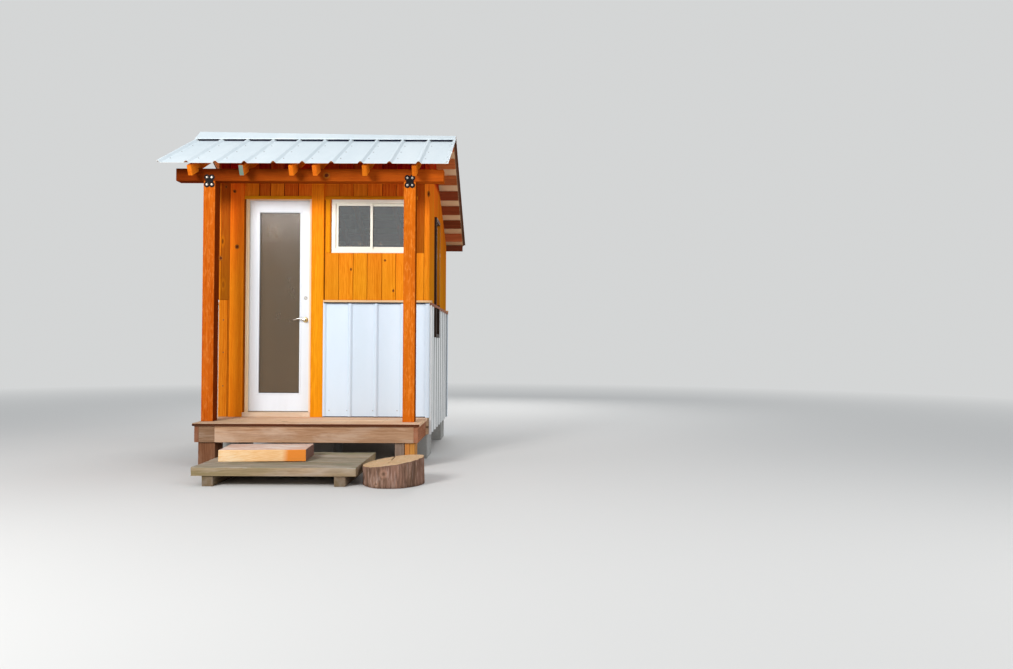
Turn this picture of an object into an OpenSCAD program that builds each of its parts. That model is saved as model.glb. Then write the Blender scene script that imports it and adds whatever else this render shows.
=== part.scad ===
// Small timber outhouse with a covered porch, a ribbed metal roof and a metal wainscot.
// Built in a working frame: X from the left corner of the front wall, Y back from its face,
// Z up from the top of the porch boards. The place module moves it to the part's own frame.

/* [Walls] */
// Width of the building over its siding
wall_w = 1980; // [1700:10:2400]
// Depth of the building over its siding
wall_d = 1905; // [1600:5:2400]
// Thickness of a wall, studs and siding together
wall_t = 108; // [90:1:140]
// Distance of the ridge behind the front face
ridge_back = 285; // [150:5:420]
// Rise of the roof for each unit of run
slope = 0.5; // [0.4:0.01:0.6]

/* [Floor] */
// Height of the porch boards above the ground
deck_above_ground = 385; // [330:5:500]
// Thickness of the floor sheet
floor_t = 18; // [12:1:25]
// Depth of the floor joists and rims
joist_h = 140; // [114:1:190]
// Thickness of sawn joists, rims and rafters
stick_t = 38; // [30:1:50]
// Bays between the floor joists
floor_bays = 6; // [6:1:8]
// Width of a foundation block
block_w = 190; // [140:5:240]
// Length of a foundation block
block_l = 390; // [300:5:450]
// Inset of the foundation blocks from the walls
block_inset = 15; // [0:1:30]

/* [Porch] */
// Depth of the porch in front of the wall
porch_d = 635; // [560:5:760]
// Inset of the porch boards from the left corner
porch_left = 16; // [0:1:40]
// Inset of the porch boards from the right corner
porch_right = 12; // [0:1:40]
// Thickness of the porch boards
board_t = 25; // [19:1:38]
// Number of porch boards
board_count = 5; // [4:1:6]
// Gap between porch boards
board_gap = 5; // [3:1:8]
// Overhang of the porch boards past the rims
board_lip = 15; // [5:1:25]
// Depth of the porch rims
rim_h = 140; // [114:1:184]
// Bays between the porch joists
porch_bays = 6; // [6:1:8]
// Left face of the left porch block
left_block_x = 58; // [50:1:80]
// Width of the left porch block
left_block_w = 146; // [120:1:190]
// Inset of the right grey block from the right corner
right_block_in = 146; // [140:1:170]
// Width of the right grey block
right_block_w = 82; // [70:1:120]
// Width of the timber block beside it
timber_block_w = 86; // [80:1:88]
// Length of the porch blocks
porch_block_l = 190; // [150:5:300]
// Gap between the grey block and the timber block
block_gap = 4; // [2:1:10]
// Setback of the porch blocks from the rim's face
porch_block_in = 20; // [0:5:40]

/* [Posts and beam] */
// Side of a square post
post_s = 105; // [89:1:120]
// Height of a post
post_h = 2120; // [2000:10:2300]
// Front face of the posts in front of the wall
post_front = 470; // [430:5:520]
// Inset of the left post from the left corner
post_left_in = 27; // [10:1:80]
// Inset of the right post from the right corner
post_right_in = 77; // [40:1:120]
// Depth of the beam
beam_h = 110; // [89:1:140]
// Overhang of the beam past the left corner
beam_left = 217; // [120:1:260]
// Overhang of the beam past the right corner
beam_right = 168; // [100:1:200]
// Thickness of a connector plate
plate_t = 3; // [2:0.5:5]
// Radius of a connector plate's lobes
lobe_r = 25; // [18:1:27]
// Distance between the lobes across the post
lobe_dx = 43; // [36:1:50]
// Distance between the lobes along the post
lobe_dz = 66; // [54:1:74]

/* [Roof] */
// Overhang of the metal past the left corner
roof_left = 310; // [260:1:340]
// Overhang of the metal in front of the wall
eave_front = 650; // [600:5:700]
// Overhang of the metal behind the back wall
eave_back = 50; // [48:1:80]
// Panel pitches across the roof
roof_pitches = 10; // [10:1:11]
// Distance between the ribs of a roof panel
rib_pitch = 250; // [240:1:255]
// Height of a rib
rib_h = 19; // [15:1:22]
// Width of a rib's flat top
rib_top = 14; // [10:1:30]
// Width of a rib at its foot
rib_foot = 48; // [40:1:70]
// Thickness of the metal sheet
sheet_t = 1.2; // [1:0.1:1.5]
// Gap between a roof sheet's top edge and the ridge line
ridge_gap = 15; // [10:1:30]
// Length of each wing of the ridge cap
cap_wing = 140; // [110:5:180]
// Turned down hem at the edge of the ridge cap, standing on the ribs
cap_hem = 7; // [5:1:12]
// Extra rise of the ridge cap's peak at its left end
cap_rise = 34; // [0:1:40]
// Gap between parts that lie on each other on the slopes
seat_gap = 0.3; // [0.2:0.1:0.5]
// Depth of a rafter
rafter_h = 89; // [80:1:114]
// Distance between rafters
rafter_pitch = 430; // [400:5:440]
// Gap between the first rafter and the left wall
fly_gap = 16; // [0:1:30]
// Rafters in each of the two groups
rafter_group = 3; // [2:1:3]
// Inset of the last rafter from the right corner
rafter_right_in = 56; // [40:1:66]
// Setback of the rafter tails behind the metal edge
tail_back = 10; // [5:1:20]
// Rise of the notch where a rafter sits on the beam or a wall
seat_rise = 26; // [20:1:30]
// Depth of the ridge board
ridge_board_h = 89; // [80:1:95]
// Width of a purlin
purlin_w = 140; // [120:1:150]
// Thickness of a purlin
purlin_t = 19; // [15:1:25]
// Purlins on the front slope
front_purlin_count = 4; // [4:1:5]
// Purlins on the rear slope
rear_purlin_count = 7; // [6:1:8]
// Distance from the ridge line to the middle of the first purlin
first_purlin = 86; // [84:1:100]
// Run from the last front purlin's middle to the metal edge
front_purlin_end = 160; // [140:1:180]
// Run from the last rear purlin's middle to the metal edge
rear_purlin_end = 178; // [150:1:210]
// Inset of the purlin ends from the metal's side edges
purlin_in = 30; // [20:1:40]
// Thickness of the rear fascia
fascia_t = 19; // [15:1:25]
// Depth of the rear fascia
fascia_h = 70; // [64:1:95]
// Setback of the rear fascia behind the metal edge
fascia_in = 19; // [10:1:22]

/* [Wainscot] */
// Height of the wainscot's cap above the porch boards
cap_z = 1098; // [1000:1:1200]
// Depth of the cap strips on the front and back
cap_h = 20; // [18:1:30]
// Depth of the cap strips on the sides, below those of the front and back
side_cap_h = 23; // [18:1:30]
// Projection of the cap strip
cap_out = 28; // [25:1:32]
// Gap between the front wainscot and the porch boards
wainscot_gap = 8; // [3:1:15]
// Panel pitches on the front wainscot
front_pitches = 4; // [3:1:6]
// Panel pitches on the other wainscots
side_pitches = 8; // [7:1:9]

/* [Door] */
// Clear width between the door jambs
door_clear_w = 600; // [560:5:650]
// Distance from the left corner to the opening between the jambs
door_x = 250; // [240:1:300]
// Height of the sill
sill_h = 43; // [35:1:50]
// Projection of the sill in front of the wall
sill_out = 22; // [20:1:40]
// Thickness of the jambs
jamb_t = 19; // [15:1:25]
// Thickness of the door leaf
leaf_t = 38; // [35:1:45]
// Height of the door leaf
leaf_h = 2008; // [1900:1:2050]
// Gap beside the hinged edge of the leaf
hinge_gap = 5; // [5:0.5:6]
// Gap beside the latch edge of the leaf
latch_gap = 8; // [8:0.5:10]
// Gap above the leaf and between leaf and stops
stop_gap = 5; // [5:0.5:8]
// Gap under the leaf
foot_gap = 6; // [5:0.5:10]
// Thickness of the door stops
stop_t = 12; // [10:1:15]
// Depth of the door stops
stop_d = 30; // [20:1:35]
// Width of the leaf's stiles
stile_w = 101; // [90:1:130]
// Height of the leaf's top rail
top_rail = 121; // [100:1:200]
// Height of the leaf's bottom rail
bottom_rail = 170; // [120:1:200]
// Thickness of the door and window glass
glass_t = 6; // [4:0.5:8]
// Width of the bead round the door glass
bead_w = 14; // [10:1:20]
// Height of the bead above the leaf
bead_h = 5; // [3:0.5:6]
// Width of the raised board left of the door
left_trim_w = 128; // [100:1:140]
// Width of the raised board right of the door
right_trim_w = 117; // [100:1:140]
// Thickness of the raised boards
trim_t = 19; // [15:1:25]

/* [Door furniture] */
// Height of a hinge
hinge_h = 90; // [75:1:110]
// Radius of a hinge knuckle
knuckle_r = 6; // [5:0.5:7]
// Radius of a hinge pin
pin_r = 3; // [2:0.1:3.5]
// Clearance round the hinge pin
pin_clear = 0.08; // [0.05:0.01:0.1]
// Gap between the knuckles
knuckle_gap = 0.5; // [0.3:0.1:1]
// Thickness of a hinge plate
hinge_t = 2; // [1.5:0.1:2]
// Distance of the outer hinges from the ends of the leaf
hinge_end = 180; // [150:5:300]
// Distance of the lever's spindle from the leaf's edge
backset = 45; // [40:1:60]
// Height of the lever above the porch boards
lever_z = 914; // [850:1:1000]
// Height of the lock above the porch boards
lock_z = 1122; // [1080:1:1160]
// Radius of the lever's rose
rose_r = 26; // [20:1:30]
// Radius of the lock's rose
lock_r = 17; // [14:1:22]
// Thickness of both roses
rose_t = 8; // [6:1:10]
// Length of the lever
lever_l = 108; // [90:1:120]
// Radius of the lever and its neck
lever_r = 8; // [7:0.5:10]
// Distance from the leaf to the middle of the lever
lever_out = 48; // [40:1:52]

/* [Front window] */
// Distance from the raised board right of the door to the front window
window_left_in = 66; // [20:1:80]
// Distance from the front window to the right corner
window_right_in = 180; // [160:1:200]
// Height of the front window
window_h = 510; // [400:1:520]
// Bottom of the front window
window_z = 1546; // [1450:1:1560]
// Clearance round the front and side windows
window_clear = 4; // [2:0.5:6]
// Setback of the window's face
window_in = 10; // [5:1:20]
// Depth of the window frame
window_d = 62; // [50:1:90]
// Width of the outer frame's face
frame_w = 38; // [30:1:45]
// Width of a sash's face
sash_w = 24; // [18:1:30]
// Depth of a sash
sash_d = 18; // [15:1:22]

/* [Side window] */
// Width of the side window's opening
side_window_w = 380; // [300:5:450]
// Height of the side window's opening
side_window_h = 1205; // [900:5:1300]
// Distance of the side window behind the front face
side_window_y = 455; // [420:5:600]
// Bottom of the side window's opening
side_window_z = 760; // [700:5:800]
// Width of the side window's frame
side_frame_w = 34; // [25:1:45]
// Projection of the side window's frame
side_frame_out = 24; // [21:1:30]
// Depth of the side window's frame
side_frame_d = 90; // [60:1:100]

/* [Steps] */
// Left end of the step platform
platform_x = 365; // [300:5:400]
// Width of the step platform
platform_w = 1235; // [1100:5:1235]
// Depth of the step platform
platform_d = 858; // [700:2:900]
// Gap between the porch boards and the platform
platform_gap = 15; // [5:1:40]
// Height of the platform's top below the porch boards
platform_drop = 238; // [220:1:250]
// Thickness of the platform's planks
plank_t = 68; // [50:1:75]
// Number of planks
plank_count = 3; // [3:1:4]
// Gap between planks
plank_gap = 6; // [4:1:10]
// Width of the bearers under the platform
bearer_w = 88; // [70:1:120]
// Inset of the bearers from the platform's ends
bearer_in = 80; // [40:1:100]
// Inset of the bearers from the platform's front and back
bearer_end = 12; // [5:1:40]
// Width of the timber step
step_w = 672; // [600:2:700]
// Depth of the timber step
step_d = 376; // [320:2:400]
// Height of the timber step
step_h = 94; // [80:1:100]
// Inset of the timber step from the platform's left end
step_in = 114; // [80:1:150]
// Setback of the timber step from the platform's front
step_back = 246; // [200:2:260]
// Turn of the timber step on the platform
step_turn = 5; // [0:1:7]
// Mean radius of the log round
log_r = 238; // [200:1:250]
// Height of the log round on its right side
log_h = 209; // [170:1:220]
// How far the log's sawn top falls from right to left
log_fall = 66; // [20:1:80]
// How far the log's sawn top falls from back to front
log_dip = 8; // [0:1:20]
// Gap between the log round and the platform
log_gap = 3; // [2:1:20]
// Distance of the log's middle in front of the wall
log_front = 1330; // [1250:5:1400]
// How far the log's outline swells and shrinks
log_wave = 7; // [2:1:10]

/* [Hidden] */
$fn = 48;
through = 5;

pitch_angle = atan(slope);
along = 1 / cos(pitch_angle);
roof_w = roof_pitches * rib_pitch + rib_top;
roof_x0 = -roof_left;
roof_x1 = roof_x0 + roof_w;
eave_y0 = -eave_front;
eave_y1 = wall_d + eave_back;
beam_top = post_h + beam_h;
rafter_plumb = rafter_h * along;
purlin_plumb = (purlin_t + 2 * seat_gap) * along;
frame_depth = rafter_plumb + purlin_plumb;

// Underside of the metal at a distance y behind the front face
function metal_z(y) = beam_top - seat_rise + frame_depth
  + slope * (min(y, ridge_back) + post_front) - slope * max(y - ridge_back, 0);
function rafter_top(y) = metal_z(y) - purlin_plumb;
function rafter_under(y) = metal_z(y) - frame_depth;

ridge_z = metal_z(ridge_back);
front_top = rafter_under(0) + seat_rise;
back_top = rafter_under(wall_d) + seat_rise;
ridge_board_top = rafter_top(ridge_back + stick_t / 2);

ground_z = -deck_above_ground;
frame_top = -floor_t;
frame_bottom = frame_top - joist_h;
rim_bottom = -board_t - rim_h;
porch_x0 = porch_left;
porch_x1 = wall_w - porch_right;
rim_y = -porch_d + board_lip;
rim_x0 = porch_x0 + board_lip;
rim_x1 = porch_x1 - board_lip;
board_w = (porch_d - (board_count - 1) * board_gap) / board_count;
post_x = [post_left_in, wall_w - post_right_in - post_s];

jamb_x0 = door_x - jamb_t;
jamb_x1 = door_x + door_clear_w + jamb_t;
leaf_x0 = door_x + hinge_gap;
leaf_w = door_clear_w - hinge_gap - latch_gap;
leaf_z0 = sill_h + foot_gap;
leaf_z1 = leaf_z0 + leaf_h;
head_z = leaf_z1 + stop_gap;
leaf_y1 = wall_t;
leaf_y0 = leaf_y1 - leaf_t;
stop_y0 = leaf_y0 - stop_gap - stop_d;
pin_x = door_x + hinge_gap / 2;
pin_y = leaf_y1 + knuckle_r + hinge_t;
pin_seat_y = pin_y - knuckle_r - knuckle_gap;
hinge_zs = [leaf_z0 + hinge_end, (leaf_z0 + leaf_z1 - hinge_h) / 2, leaf_z1 - hinge_end - hinge_h];
knuckle_h = hinge_h / 3;
glass_x0 = leaf_x0 + stile_w;
glass_x1 = leaf_x0 + leaf_w - stile_w;
glass_z0 = leaf_z0 + bottom_rail;
glass_z1 = leaf_z1 - top_rail;
trim_x1 = jamb_x1 + right_trim_w;
window_x = trim_x1 + window_left_in;
window_w = wall_w - window_right_in - window_x;

side_y1 = side_window_y + side_window_w;
side_z1 = side_window_z + side_window_h;
platform_y0 = -porch_d - platform_gap - platform_d;
platform_top = -platform_drop;
log_x = platform_x + platform_w + log_gap + log_r + log_wave;
log_lean = atan(log_fall / (2 * log_r));
log_tip = atan(log_dip / (2 * log_r));
log_points = [
  for (a = [0 : 9 : 351])
    (log_r + log_wave * (sin(3 * a + 40) + sin(5 * a)) / 2) * [cos(a), sin(a)]];
front_edge = min(concat([platform_y0], [for (p = log_points) p[1] - log_front]));
rear_edge = eave_y1 + (rib_h + sheet_t) * sin(pitch_angle);

rafter_xs = concat(
  [-stick_t - fly_gap],
  [for (i = [1 : rafter_group - 1]) -stick_t + i * rafter_pitch],
  [for (i = [0 : rafter_group - 1]) wall_w - rafter_right_in - stick_t - i * rafter_pitch]);

// From the working frame to the part's frame, with the origin on the ground at the middle
module place() {
  translate([-(roof_x0 + roof_x1) / 2, -(front_edge + rear_edge) / 2, deck_above_ground]) children();
}

// A box between two opposite corners
module box(a, b) {
  translate(a) cube(b - a);
}

// A profile drawn in Y and Z and drawn out along X
module along_x(x0, x1) {
  translate([x0, 0, 0]) rotate([90, 0, 90]) linear_extrude(x1 - x0) children();
}

// Upper line of a ribbed sheet, starting and ending on a half rib
function rib_line(w, n) = let (pitch = (w - rib_top) / n, side = (rib_foot - rib_top) / 2) concat(
  [[0, rib_h]],
  [for (i = [0 : n - 1], p = [[rib_top, 0], [rib_top + side, 1], [pitch - side, 1], [pitch, 0]])
    [i * pitch + p[0], rib_h * (1 - p[1])]],
  [[w, rib_h]]);

module ribbed_sheet(w, n, length) {
  line = rib_line(w, n);
  last = len(line) - 1;
  linear_extrude(length) polygon(concat(
    [for (p = line) p + [0, sheet_t]],
    [for (i = [0 : last]) line[last - i]]));
}

module floor_frame() color("#9a7b57") place() {
  bay = (wall_w - stick_t) / floor_bays;
  for (y = [0, wall_d - stick_t]) box([0, y, frame_bottom], [wall_w, y + stick_t, frame_top]);
  for (i = [0 : floor_bays])
    box([i * bay, stick_t / 2, frame_bottom], [i * bay + stick_t, wall_d - stick_t / 2, frame_top]);
}

module floor_sheet() color("#b08d62") place() {
  box([0, 0, -floor_t], [wall_w, wall_d, 0]);
}

module foundation_blocks() color("#9a9894") place() {
  for (x = [block_inset, (wall_w - block_w) / 2, wall_w - block_inset - block_w])
    for (y = [block_inset, wall_d - block_inset - block_l])
      box([x, y, ground_z], [x + block_w, y + block_l, frame_bottom]);
}

module porch_front_rim() color("#7d6a58") place() {
  box([rim_x0 + stick_t, rim_y, rim_bottom], [rim_x1 - stick_t, rim_y + stick_t, -board_t]);
}

module porch_side_rims() color("#7d6a58") place() {
  for (x = [rim_x0, rim_x1 - stick_t]) box([x, rim_y, rim_bottom], [x + stick_t, 0, -board_t]);
}

module porch_joists() color("#7d6a58") place() {
  first = rim_x0 + stick_t;
  bay = (rim_x1 - rim_x0 - stick_t) / porch_bays;
  box([first, -stick_t, rim_bottom], [rim_x1 - stick_t, 0, -board_t]);
  for (i = [1 : porch_bays - 1])
    box([rim_x0 + i * bay, rim_y + stick_t, rim_bottom],
      [rim_x0 + i * bay + stick_t, -stick_t / 2, -board_t]);
}

module porch_boards() color("#8a7562") place() {
  for (i = [0 : board_count - 1]) {
    y = -porch_d + i * (board_w + board_gap);
    box([porch_x0, y, -board_t], [porch_x1, y + board_w, 0]);
  }
}

module porch_blocks() color("#8e8b86") place() {
  y = rim_y + porch_block_in;
  right_x = wall_w - right_block_in - right_block_w;
  box([left_block_x, y, ground_z], [left_block_x + left_block_w, y + porch_block_l, rim_bottom]);
  box([right_x, y, ground_z], [right_x + right_block_w, y + porch_block_l, rim_bottom]);
}

module timber_block() color("#d9a441") place() {
  y = rim_y + porch_block_in;
  x = wall_w - right_block_in + block_gap;
  box([x, y, ground_z], [x + timber_block_w, y + porch_block_l, rim_bottom]);
}

module porch_posts() color("#c2622a") place() {
  for (x = post_x) box([x, -post_front, 0], [x + post_s, post_s - post_front, post_h]);
}

module porch_beam() color("#a8441f") place() {
  box([-beam_left, -post_front, post_h], [wall_w + beam_right, post_s - post_front, beam_top]);
}

module post_plates() color("#1b1c1d") place() {
  for (x = post_x)
    translate([x + post_s / 2, -post_front, post_h]) rotate([90, 0, 0]) linear_extrude(plate_t) {
      for (sx = [-1, 1], sz = [-1, 1]) translate([sx * lobe_dx / 2, sz * lobe_dz / 2]) circle(lobe_r);
      square([lobe_dx, lobe_dz], center = true);
      square([lobe_dx + lobe_r, lobe_dz / 2], center = true);
    }
}

// Cross section of the front rafters, square cut at the tail, notched over beam and wall
module front_rafter_section() {
  tail_y = eave_y0 + tail_back;
  ridge_face = ridge_back - stick_t / 2;
  difference() {
    polygon([
      [tail_y, rafter_top(tail_y)],
      [tail_y + rafter_h * sin(pitch_angle), rafter_top(tail_y) - rafter_h * cos(pitch_angle)],
      [ridge_face, rafter_under(ridge_face)],
      [ridge_face, rafter_top(ridge_face)]]);
    translate([-post_front, post_h]) square([post_s, beam_h]);
    square([wall_t, front_top]);
  }
}

module rear_rafter_section() {
  tail_y = eave_y1 - fascia_in - fascia_t;
  ridge_face = ridge_back + stick_t / 2;
  difference() {
    polygon([
      [ridge_face, rafter_top(ridge_face)],
      [ridge_face, rafter_under(ridge_face)],
      [tail_y, rafter_under(tail_y)],
      [tail_y, rafter_top(tail_y)]]);
    translate([wall_d - wall_t, 0]) square([wall_t, back_top]);
  }
}

module front_rafters() color("#c8691f") place() {
  for (x = rafter_xs) along_x(x, x + stick_t) front_rafter_section();
}

module rear_rafters() color("#c8691f") place() {
  for (x = rafter_xs) along_x(x, x + stick_t) rear_rafter_section();
}

module ridge_board() color("#b98a55") place() {
  box([rafter_xs[0], ridge_back - stick_t / 2, ridge_board_top - ridge_board_h],
    [wall_w - rafter_right_in, ridge_back + stick_t / 2, ridge_board_top]);
}

// A board under the metal, lying on the rafters
module purlin(y, angle) {
  translate([roof_x0 + purlin_in, y, metal_z(y)]) rotate([angle, 0, 0])
    translate([0, -purlin_w / 2, -purlin_t - seat_gap])
      cube([roof_w - 2 * purlin_in, purlin_w, purlin_t]);
}

module front_purlins() color("#a34a22") place() {
  start = ridge_back - first_purlin;
  step = (start - (eave_y0 + front_purlin_end)) / (front_purlin_count - 1);
  for (i = [0 : front_purlin_count - 1]) purlin(start - i * step, pitch_angle);
}

module rear_purlins() color("#7c3f25") place() {
  start = ridge_back + first_purlin;
  step = (eave_y1 - rear_purlin_end - start) / (rear_purlin_count - 1);
  for (i = [0 : rear_purlin_count - 1]) purlin(start + i * step, -pitch_angle);
}

module rear_fascia() color("#9c4a20") place() {
  y = eave_y1 - fascia_in;
  top = metal_z(y) - seat_gap;
  box([roof_x0 + purlin_in, y - fascia_t, top - fascia_h], [roof_x1 - purlin_in, y, top]);
}

module front_roof_sheet() color("#dfe6ea") place() {
  y = ridge_back - ridge_gap;
  translate([roof_x0, y, metal_z(y)]) rotate([90 + pitch_angle, 0, 0])
    ribbed_sheet(roof_w, roof_pitches, (y - eave_y0) * along);
}

module rear_roof_sheet() color("#dfe6ea") place() {
  y = ridge_back + ridge_gap;
  translate([roof_x0, eave_y1, metal_z(eave_y1)]) rotate([90 - pitch_angle, 0, 0])
    ribbed_sheet(roof_w, roof_pitches, (eave_y1 - y) * along);
}

// Height of the ridge cap's lower skin above the ridge line, and of the feet of its hems
cap_lift = (rib_h + sheet_t + seat_gap) * along + slope * sheet_t + cap_hem;
cap_foot = cap_lift - cap_wing * sin(pitch_angle) - cap_hem;

// Everything under one skin of the ridge cap, its peak rising from right to left.
// The twisted wings are split from the left peak to the right hem, alike in both skins.
module cap_tent(skin, over) {
  run = cap_wing * cos(pitch_angle) - skin;
  peak = cap_lift + (sheet_t - skin) * along;
  edge = peak - run * slope;
  low = cap_foot - over;
  outlines = [
    for (k = [0 : roof_pitches])
      let (
        share = k / roof_pitches,
        x = roof_x0 + roof_w * share + (k == 0 ? -over : k == roof_pitches ? over : 0))
      [for (p = [[-run, low], [-run, edge], [0, peak + cap_rise * (1 - share)], [run, edge], [run, low]])
        [x, ridge_back + p[0], ridge_z + p[1]]]];
  n = 5;
  polyhedron([for (outline = outlines, p = outline) p], concat(
    [[for (i = [0 : n - 1]) n - 1 - i]],
    [[for (i = [0 : n - 1]) roof_pitches * n + i]],
    [for (k = [0 : roof_pitches - 1], i = [0 : n - 1])
      let (a = k * n + i, b = k * n + (i + 1) % n)
      each i == 1
        ? [[a, b, n + a], [b, n + b, n + a]]
        : [[a, b, n + b], [a, n + b, n + a]]]));
}

// Bent sheet over the ridge, its hems standing on the ribs
module ridge_cap() color("#eef1f2") place() difference() {
  cap_tent(0, 0);
  cap_tent(sheet_t, through);
}

// Side wall outline up to the underside of the purlins
module side_section() {
  polygon([
    [0, 0], [wall_d, 0], [wall_d, rafter_top(wall_d)],
    [ridge_back, rafter_top(ridge_back)], [0, rafter_top(0)]]);
}

// Slot that lets the ridge board through a side wall
module ridge_slot(x0, x1) {
  box([x0, ridge_back - stick_t / 2, ridge_board_top - ridge_board_h],
    [x1, ridge_back + stick_t / 2, ridge_z]);
}

module left_wall() color("#c9802f") place() difference() {
  along_x(0, wall_t) side_section();
  ridge_slot(-through, wall_t + through);
}

module right_wall() color("#c9802f") place() difference() {
  along_x(wall_w - wall_t, wall_w) side_section();
  along_x(wall_w - wall_t - through, wall_w - rafter_right_in) translate([0, -seat_gap]) polygon([
    [-through, rafter_under(-through)], [ridge_back, rafter_under(ridge_back)],
    [wall_d + through, rafter_under(wall_d + through)],
    [wall_d + through, ridge_z + through], [-through, ridge_z + through]]);
  ridge_slot(wall_w - wall_t - through, wall_w - rafter_right_in);
  box([wall_w - wall_t - through, side_window_y, side_window_z], [wall_w + through, side_y1, side_z1]);
}

module back_wall() color("#c9802f") place() {
  box([wall_t, wall_d - wall_t, 0], [wall_w - wall_t, wall_d, back_top]);
}

module front_wall_left() color("#d9852b") place() {
  box([wall_t, 0, 0], [jamb_x0, wall_t, front_top]);
}

module front_wall_right() color("#d9852b") place() difference() {
  box([jamb_x1, 0, 0], [wall_w - wall_t, wall_t, front_top]);
  box([window_x - window_clear, -through, window_z],
    [window_x + window_w + window_clear, wall_t + through, window_z + window_h + window_clear]);
}

module front_wall_head() color("#d9852b") place() {
  box([jamb_x0, 0, head_z + jamb_t], [jamb_x1, wall_t, front_top]);
}

module front_wainscot() color("#e9edee") place() {
  translate([trim_x1, 0, wainscot_gap]) mirror([0, 1, 0])
    ribbed_sheet(wall_w - trim_x1, front_pitches, cap_z - cap_h - wainscot_gap);
}

module side_wainscots() color("#dfe4e6") place() {
  height = cap_z - cap_h - side_cap_h - frame_bottom;
  translate([0, 0, frame_bottom]) rotate([0, 0, 90]) ribbed_sheet(wall_d, side_pitches, height);
  difference() {
    translate([wall_w, wall_d, frame_bottom]) rotate([0, 0, -90])
      ribbed_sheet(wall_d, side_pitches, height);
    box([wall_w - through, side_window_y, side_window_z],
      [wall_w + rib_h + through, side_y1, cap_z - cap_h]);
  }
}

module back_wainscot() color("#dfe4e6") place() {
  translate([0, wall_d, frame_bottom])
    ribbed_sheet(wall_w, side_pitches, cap_z - cap_h - frame_bottom);
}

module end_caps() color("#e8dcc4") place() {
  box([trim_x1, -cap_out, cap_z - cap_h], [wall_w + cap_out, 0, cap_z]);
  box([-cap_out, wall_d, cap_z - cap_h], [wall_w + cap_out, wall_d + cap_out, cap_z]);
}

module side_caps() color("#8a4b2c") place() {
  z1 = cap_z - cap_h;
  z0 = z1 - side_cap_h;
  box([-cap_out, 0, z0], [0, wall_d, z1]);
  box([wall_w, 0, z0], [wall_w + cap_out, side_window_y, z1]);
  box([wall_w, side_y1, z0], [wall_w + cap_out, wall_d, z1]);
}

module door_trims() color("#e08f2e") place() {
  box([jamb_x0 - left_trim_w, -trim_t, 0], [jamb_x0, 0, front_top]);
  box([jamb_x1, -trim_t, 0], [trim_x1, 0, front_top]);
}

module door_jambs() color("#f1f0ec") place() {
  for (side = [0, 1]) {
    face = side == 0 ? door_x : door_x + door_clear_w;
    out = side == 0 ? -1 : 1;
    box([min(face, face + out * jamb_t), 0, sill_h], [max(face, face + out * jamb_t), wall_t, head_z]);
    box([min(face, face - out * stop_t), stop_y0, sill_h],
      [max(face, face - out * stop_t), stop_y0 + stop_d, head_z]);
  }
}

module head_jamb() color("#f1f0ec") place() {
  box([jamb_x0, 0, head_z], [jamb_x1, wall_t, head_z + jamb_t]);
  box([door_x + stop_t, stop_y0, head_z - stop_t],
    [door_x + door_clear_w - stop_t, stop_y0 + stop_d, head_z]);
}

module door_sill() color("#c07a35") place() {
  box([jamb_x0, -sill_out, 0], [jamb_x1, wall_t, sill_h]);
}

// Knuckles numbered in turns of a third of the hinge
module knuckle(z, turn, bore) {
  low = turn == 0 ? 0 : knuckle_gap / 2;
  high = turn == 2 ? 0 : knuckle_gap / 2;
  translate([pin_x, pin_y, z + turn * knuckle_h + low]) difference() {
    cylinder(r = knuckle_r, h = knuckle_h - low - high);
    if (bore) translate([0, 0, -through]) cylinder(r = pin_r + pin_clear, h = hinge_h);
  }
}

module jamb_hinges() color("#b9bcbe") place() {
  for (z = hinge_zs) {
    box([door_x, leaf_y0, z], [door_x + hinge_t, pin_seat_y, z + hinge_h]);
    for (turn = [0, 2]) {
      gap_low = turn == 0 ? 0 : knuckle_gap / 2;
      gap_high = turn == 2 ? 0 : knuckle_gap / 2;
      box([door_x, leaf_y0, z + turn * knuckle_h + gap_low],
        [door_x + hinge_t, pin_y, z + (turn + 1) * knuckle_h - gap_high]);
      knuckle(z, turn, false);
    }
    translate([pin_x, pin_y, z]) cylinder(r = pin_r, h = hinge_h);
  }
}

module leaf_hinges() color("#b9bcbe") place() {
  for (z = hinge_zs) difference() {
    union() {
      box([leaf_x0 - hinge_t, leaf_y0, z], [leaf_x0, pin_seat_y, z + hinge_h]);
      box([leaf_x0 - hinge_t, leaf_y0, z + knuckle_h + knuckle_gap / 2],
        [leaf_x0, pin_y, z + 2 * knuckle_h - knuckle_gap / 2]);
      knuckle(z, 1, false);
    }
    translate([pin_x, pin_y, z - through]) cylinder(r = pin_r + pin_clear, h = hinge_h + 2 * through);
  }
}

module door_leaf() color("#f4f4f1") place() difference() {
  union() {
    box([leaf_x0, leaf_y0, leaf_z0], [leaf_x0 + leaf_w, leaf_y1, leaf_z1]);
    box([glass_x0 - bead_w, leaf_y0 - bead_h, glass_z0 - bead_w],
      [glass_x1 + bead_w, leaf_y1 + bead_h, glass_z1 + bead_w]);
  }
  box([glass_x0, leaf_y0 - bead_h - through, glass_z0],
    [glass_x1, leaf_y1 + bead_h + through, glass_z1]);
}

module door_glass() color("#8d8478") place() {
  y = (leaf_y0 + leaf_y1 - glass_t) / 2;
  box([glass_x0, y, glass_z0], [glass_x1, y + glass_t, glass_z1]);
}

// Lever and lock on one face of the leaf, pointing out along -Y
module handle_set() {
  rotate([90, 0, 0]) {
    cylinder(r = rose_r, h = rose_t);
    cylinder(r = lever_r, h = lever_out);
  }
  translate([0, -lever_out, 0]) {
    rotate([0, -90, 0]) cylinder(r = lever_r, h = lever_l);
    sphere(lever_r);
  }
  translate([0, 0, lock_z - lever_z]) rotate([90, 0, 0]) cylinder(r = lock_r, h = rose_t);
}

module door_handles() color("#c8c9c8") place() {
  x = leaf_x0 + leaf_w - backset;
  translate([x, leaf_y0, lever_z]) handle_set();
  translate([x, leaf_y1, lever_z]) mirror([0, 1, 0]) handle_set();
}

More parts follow.
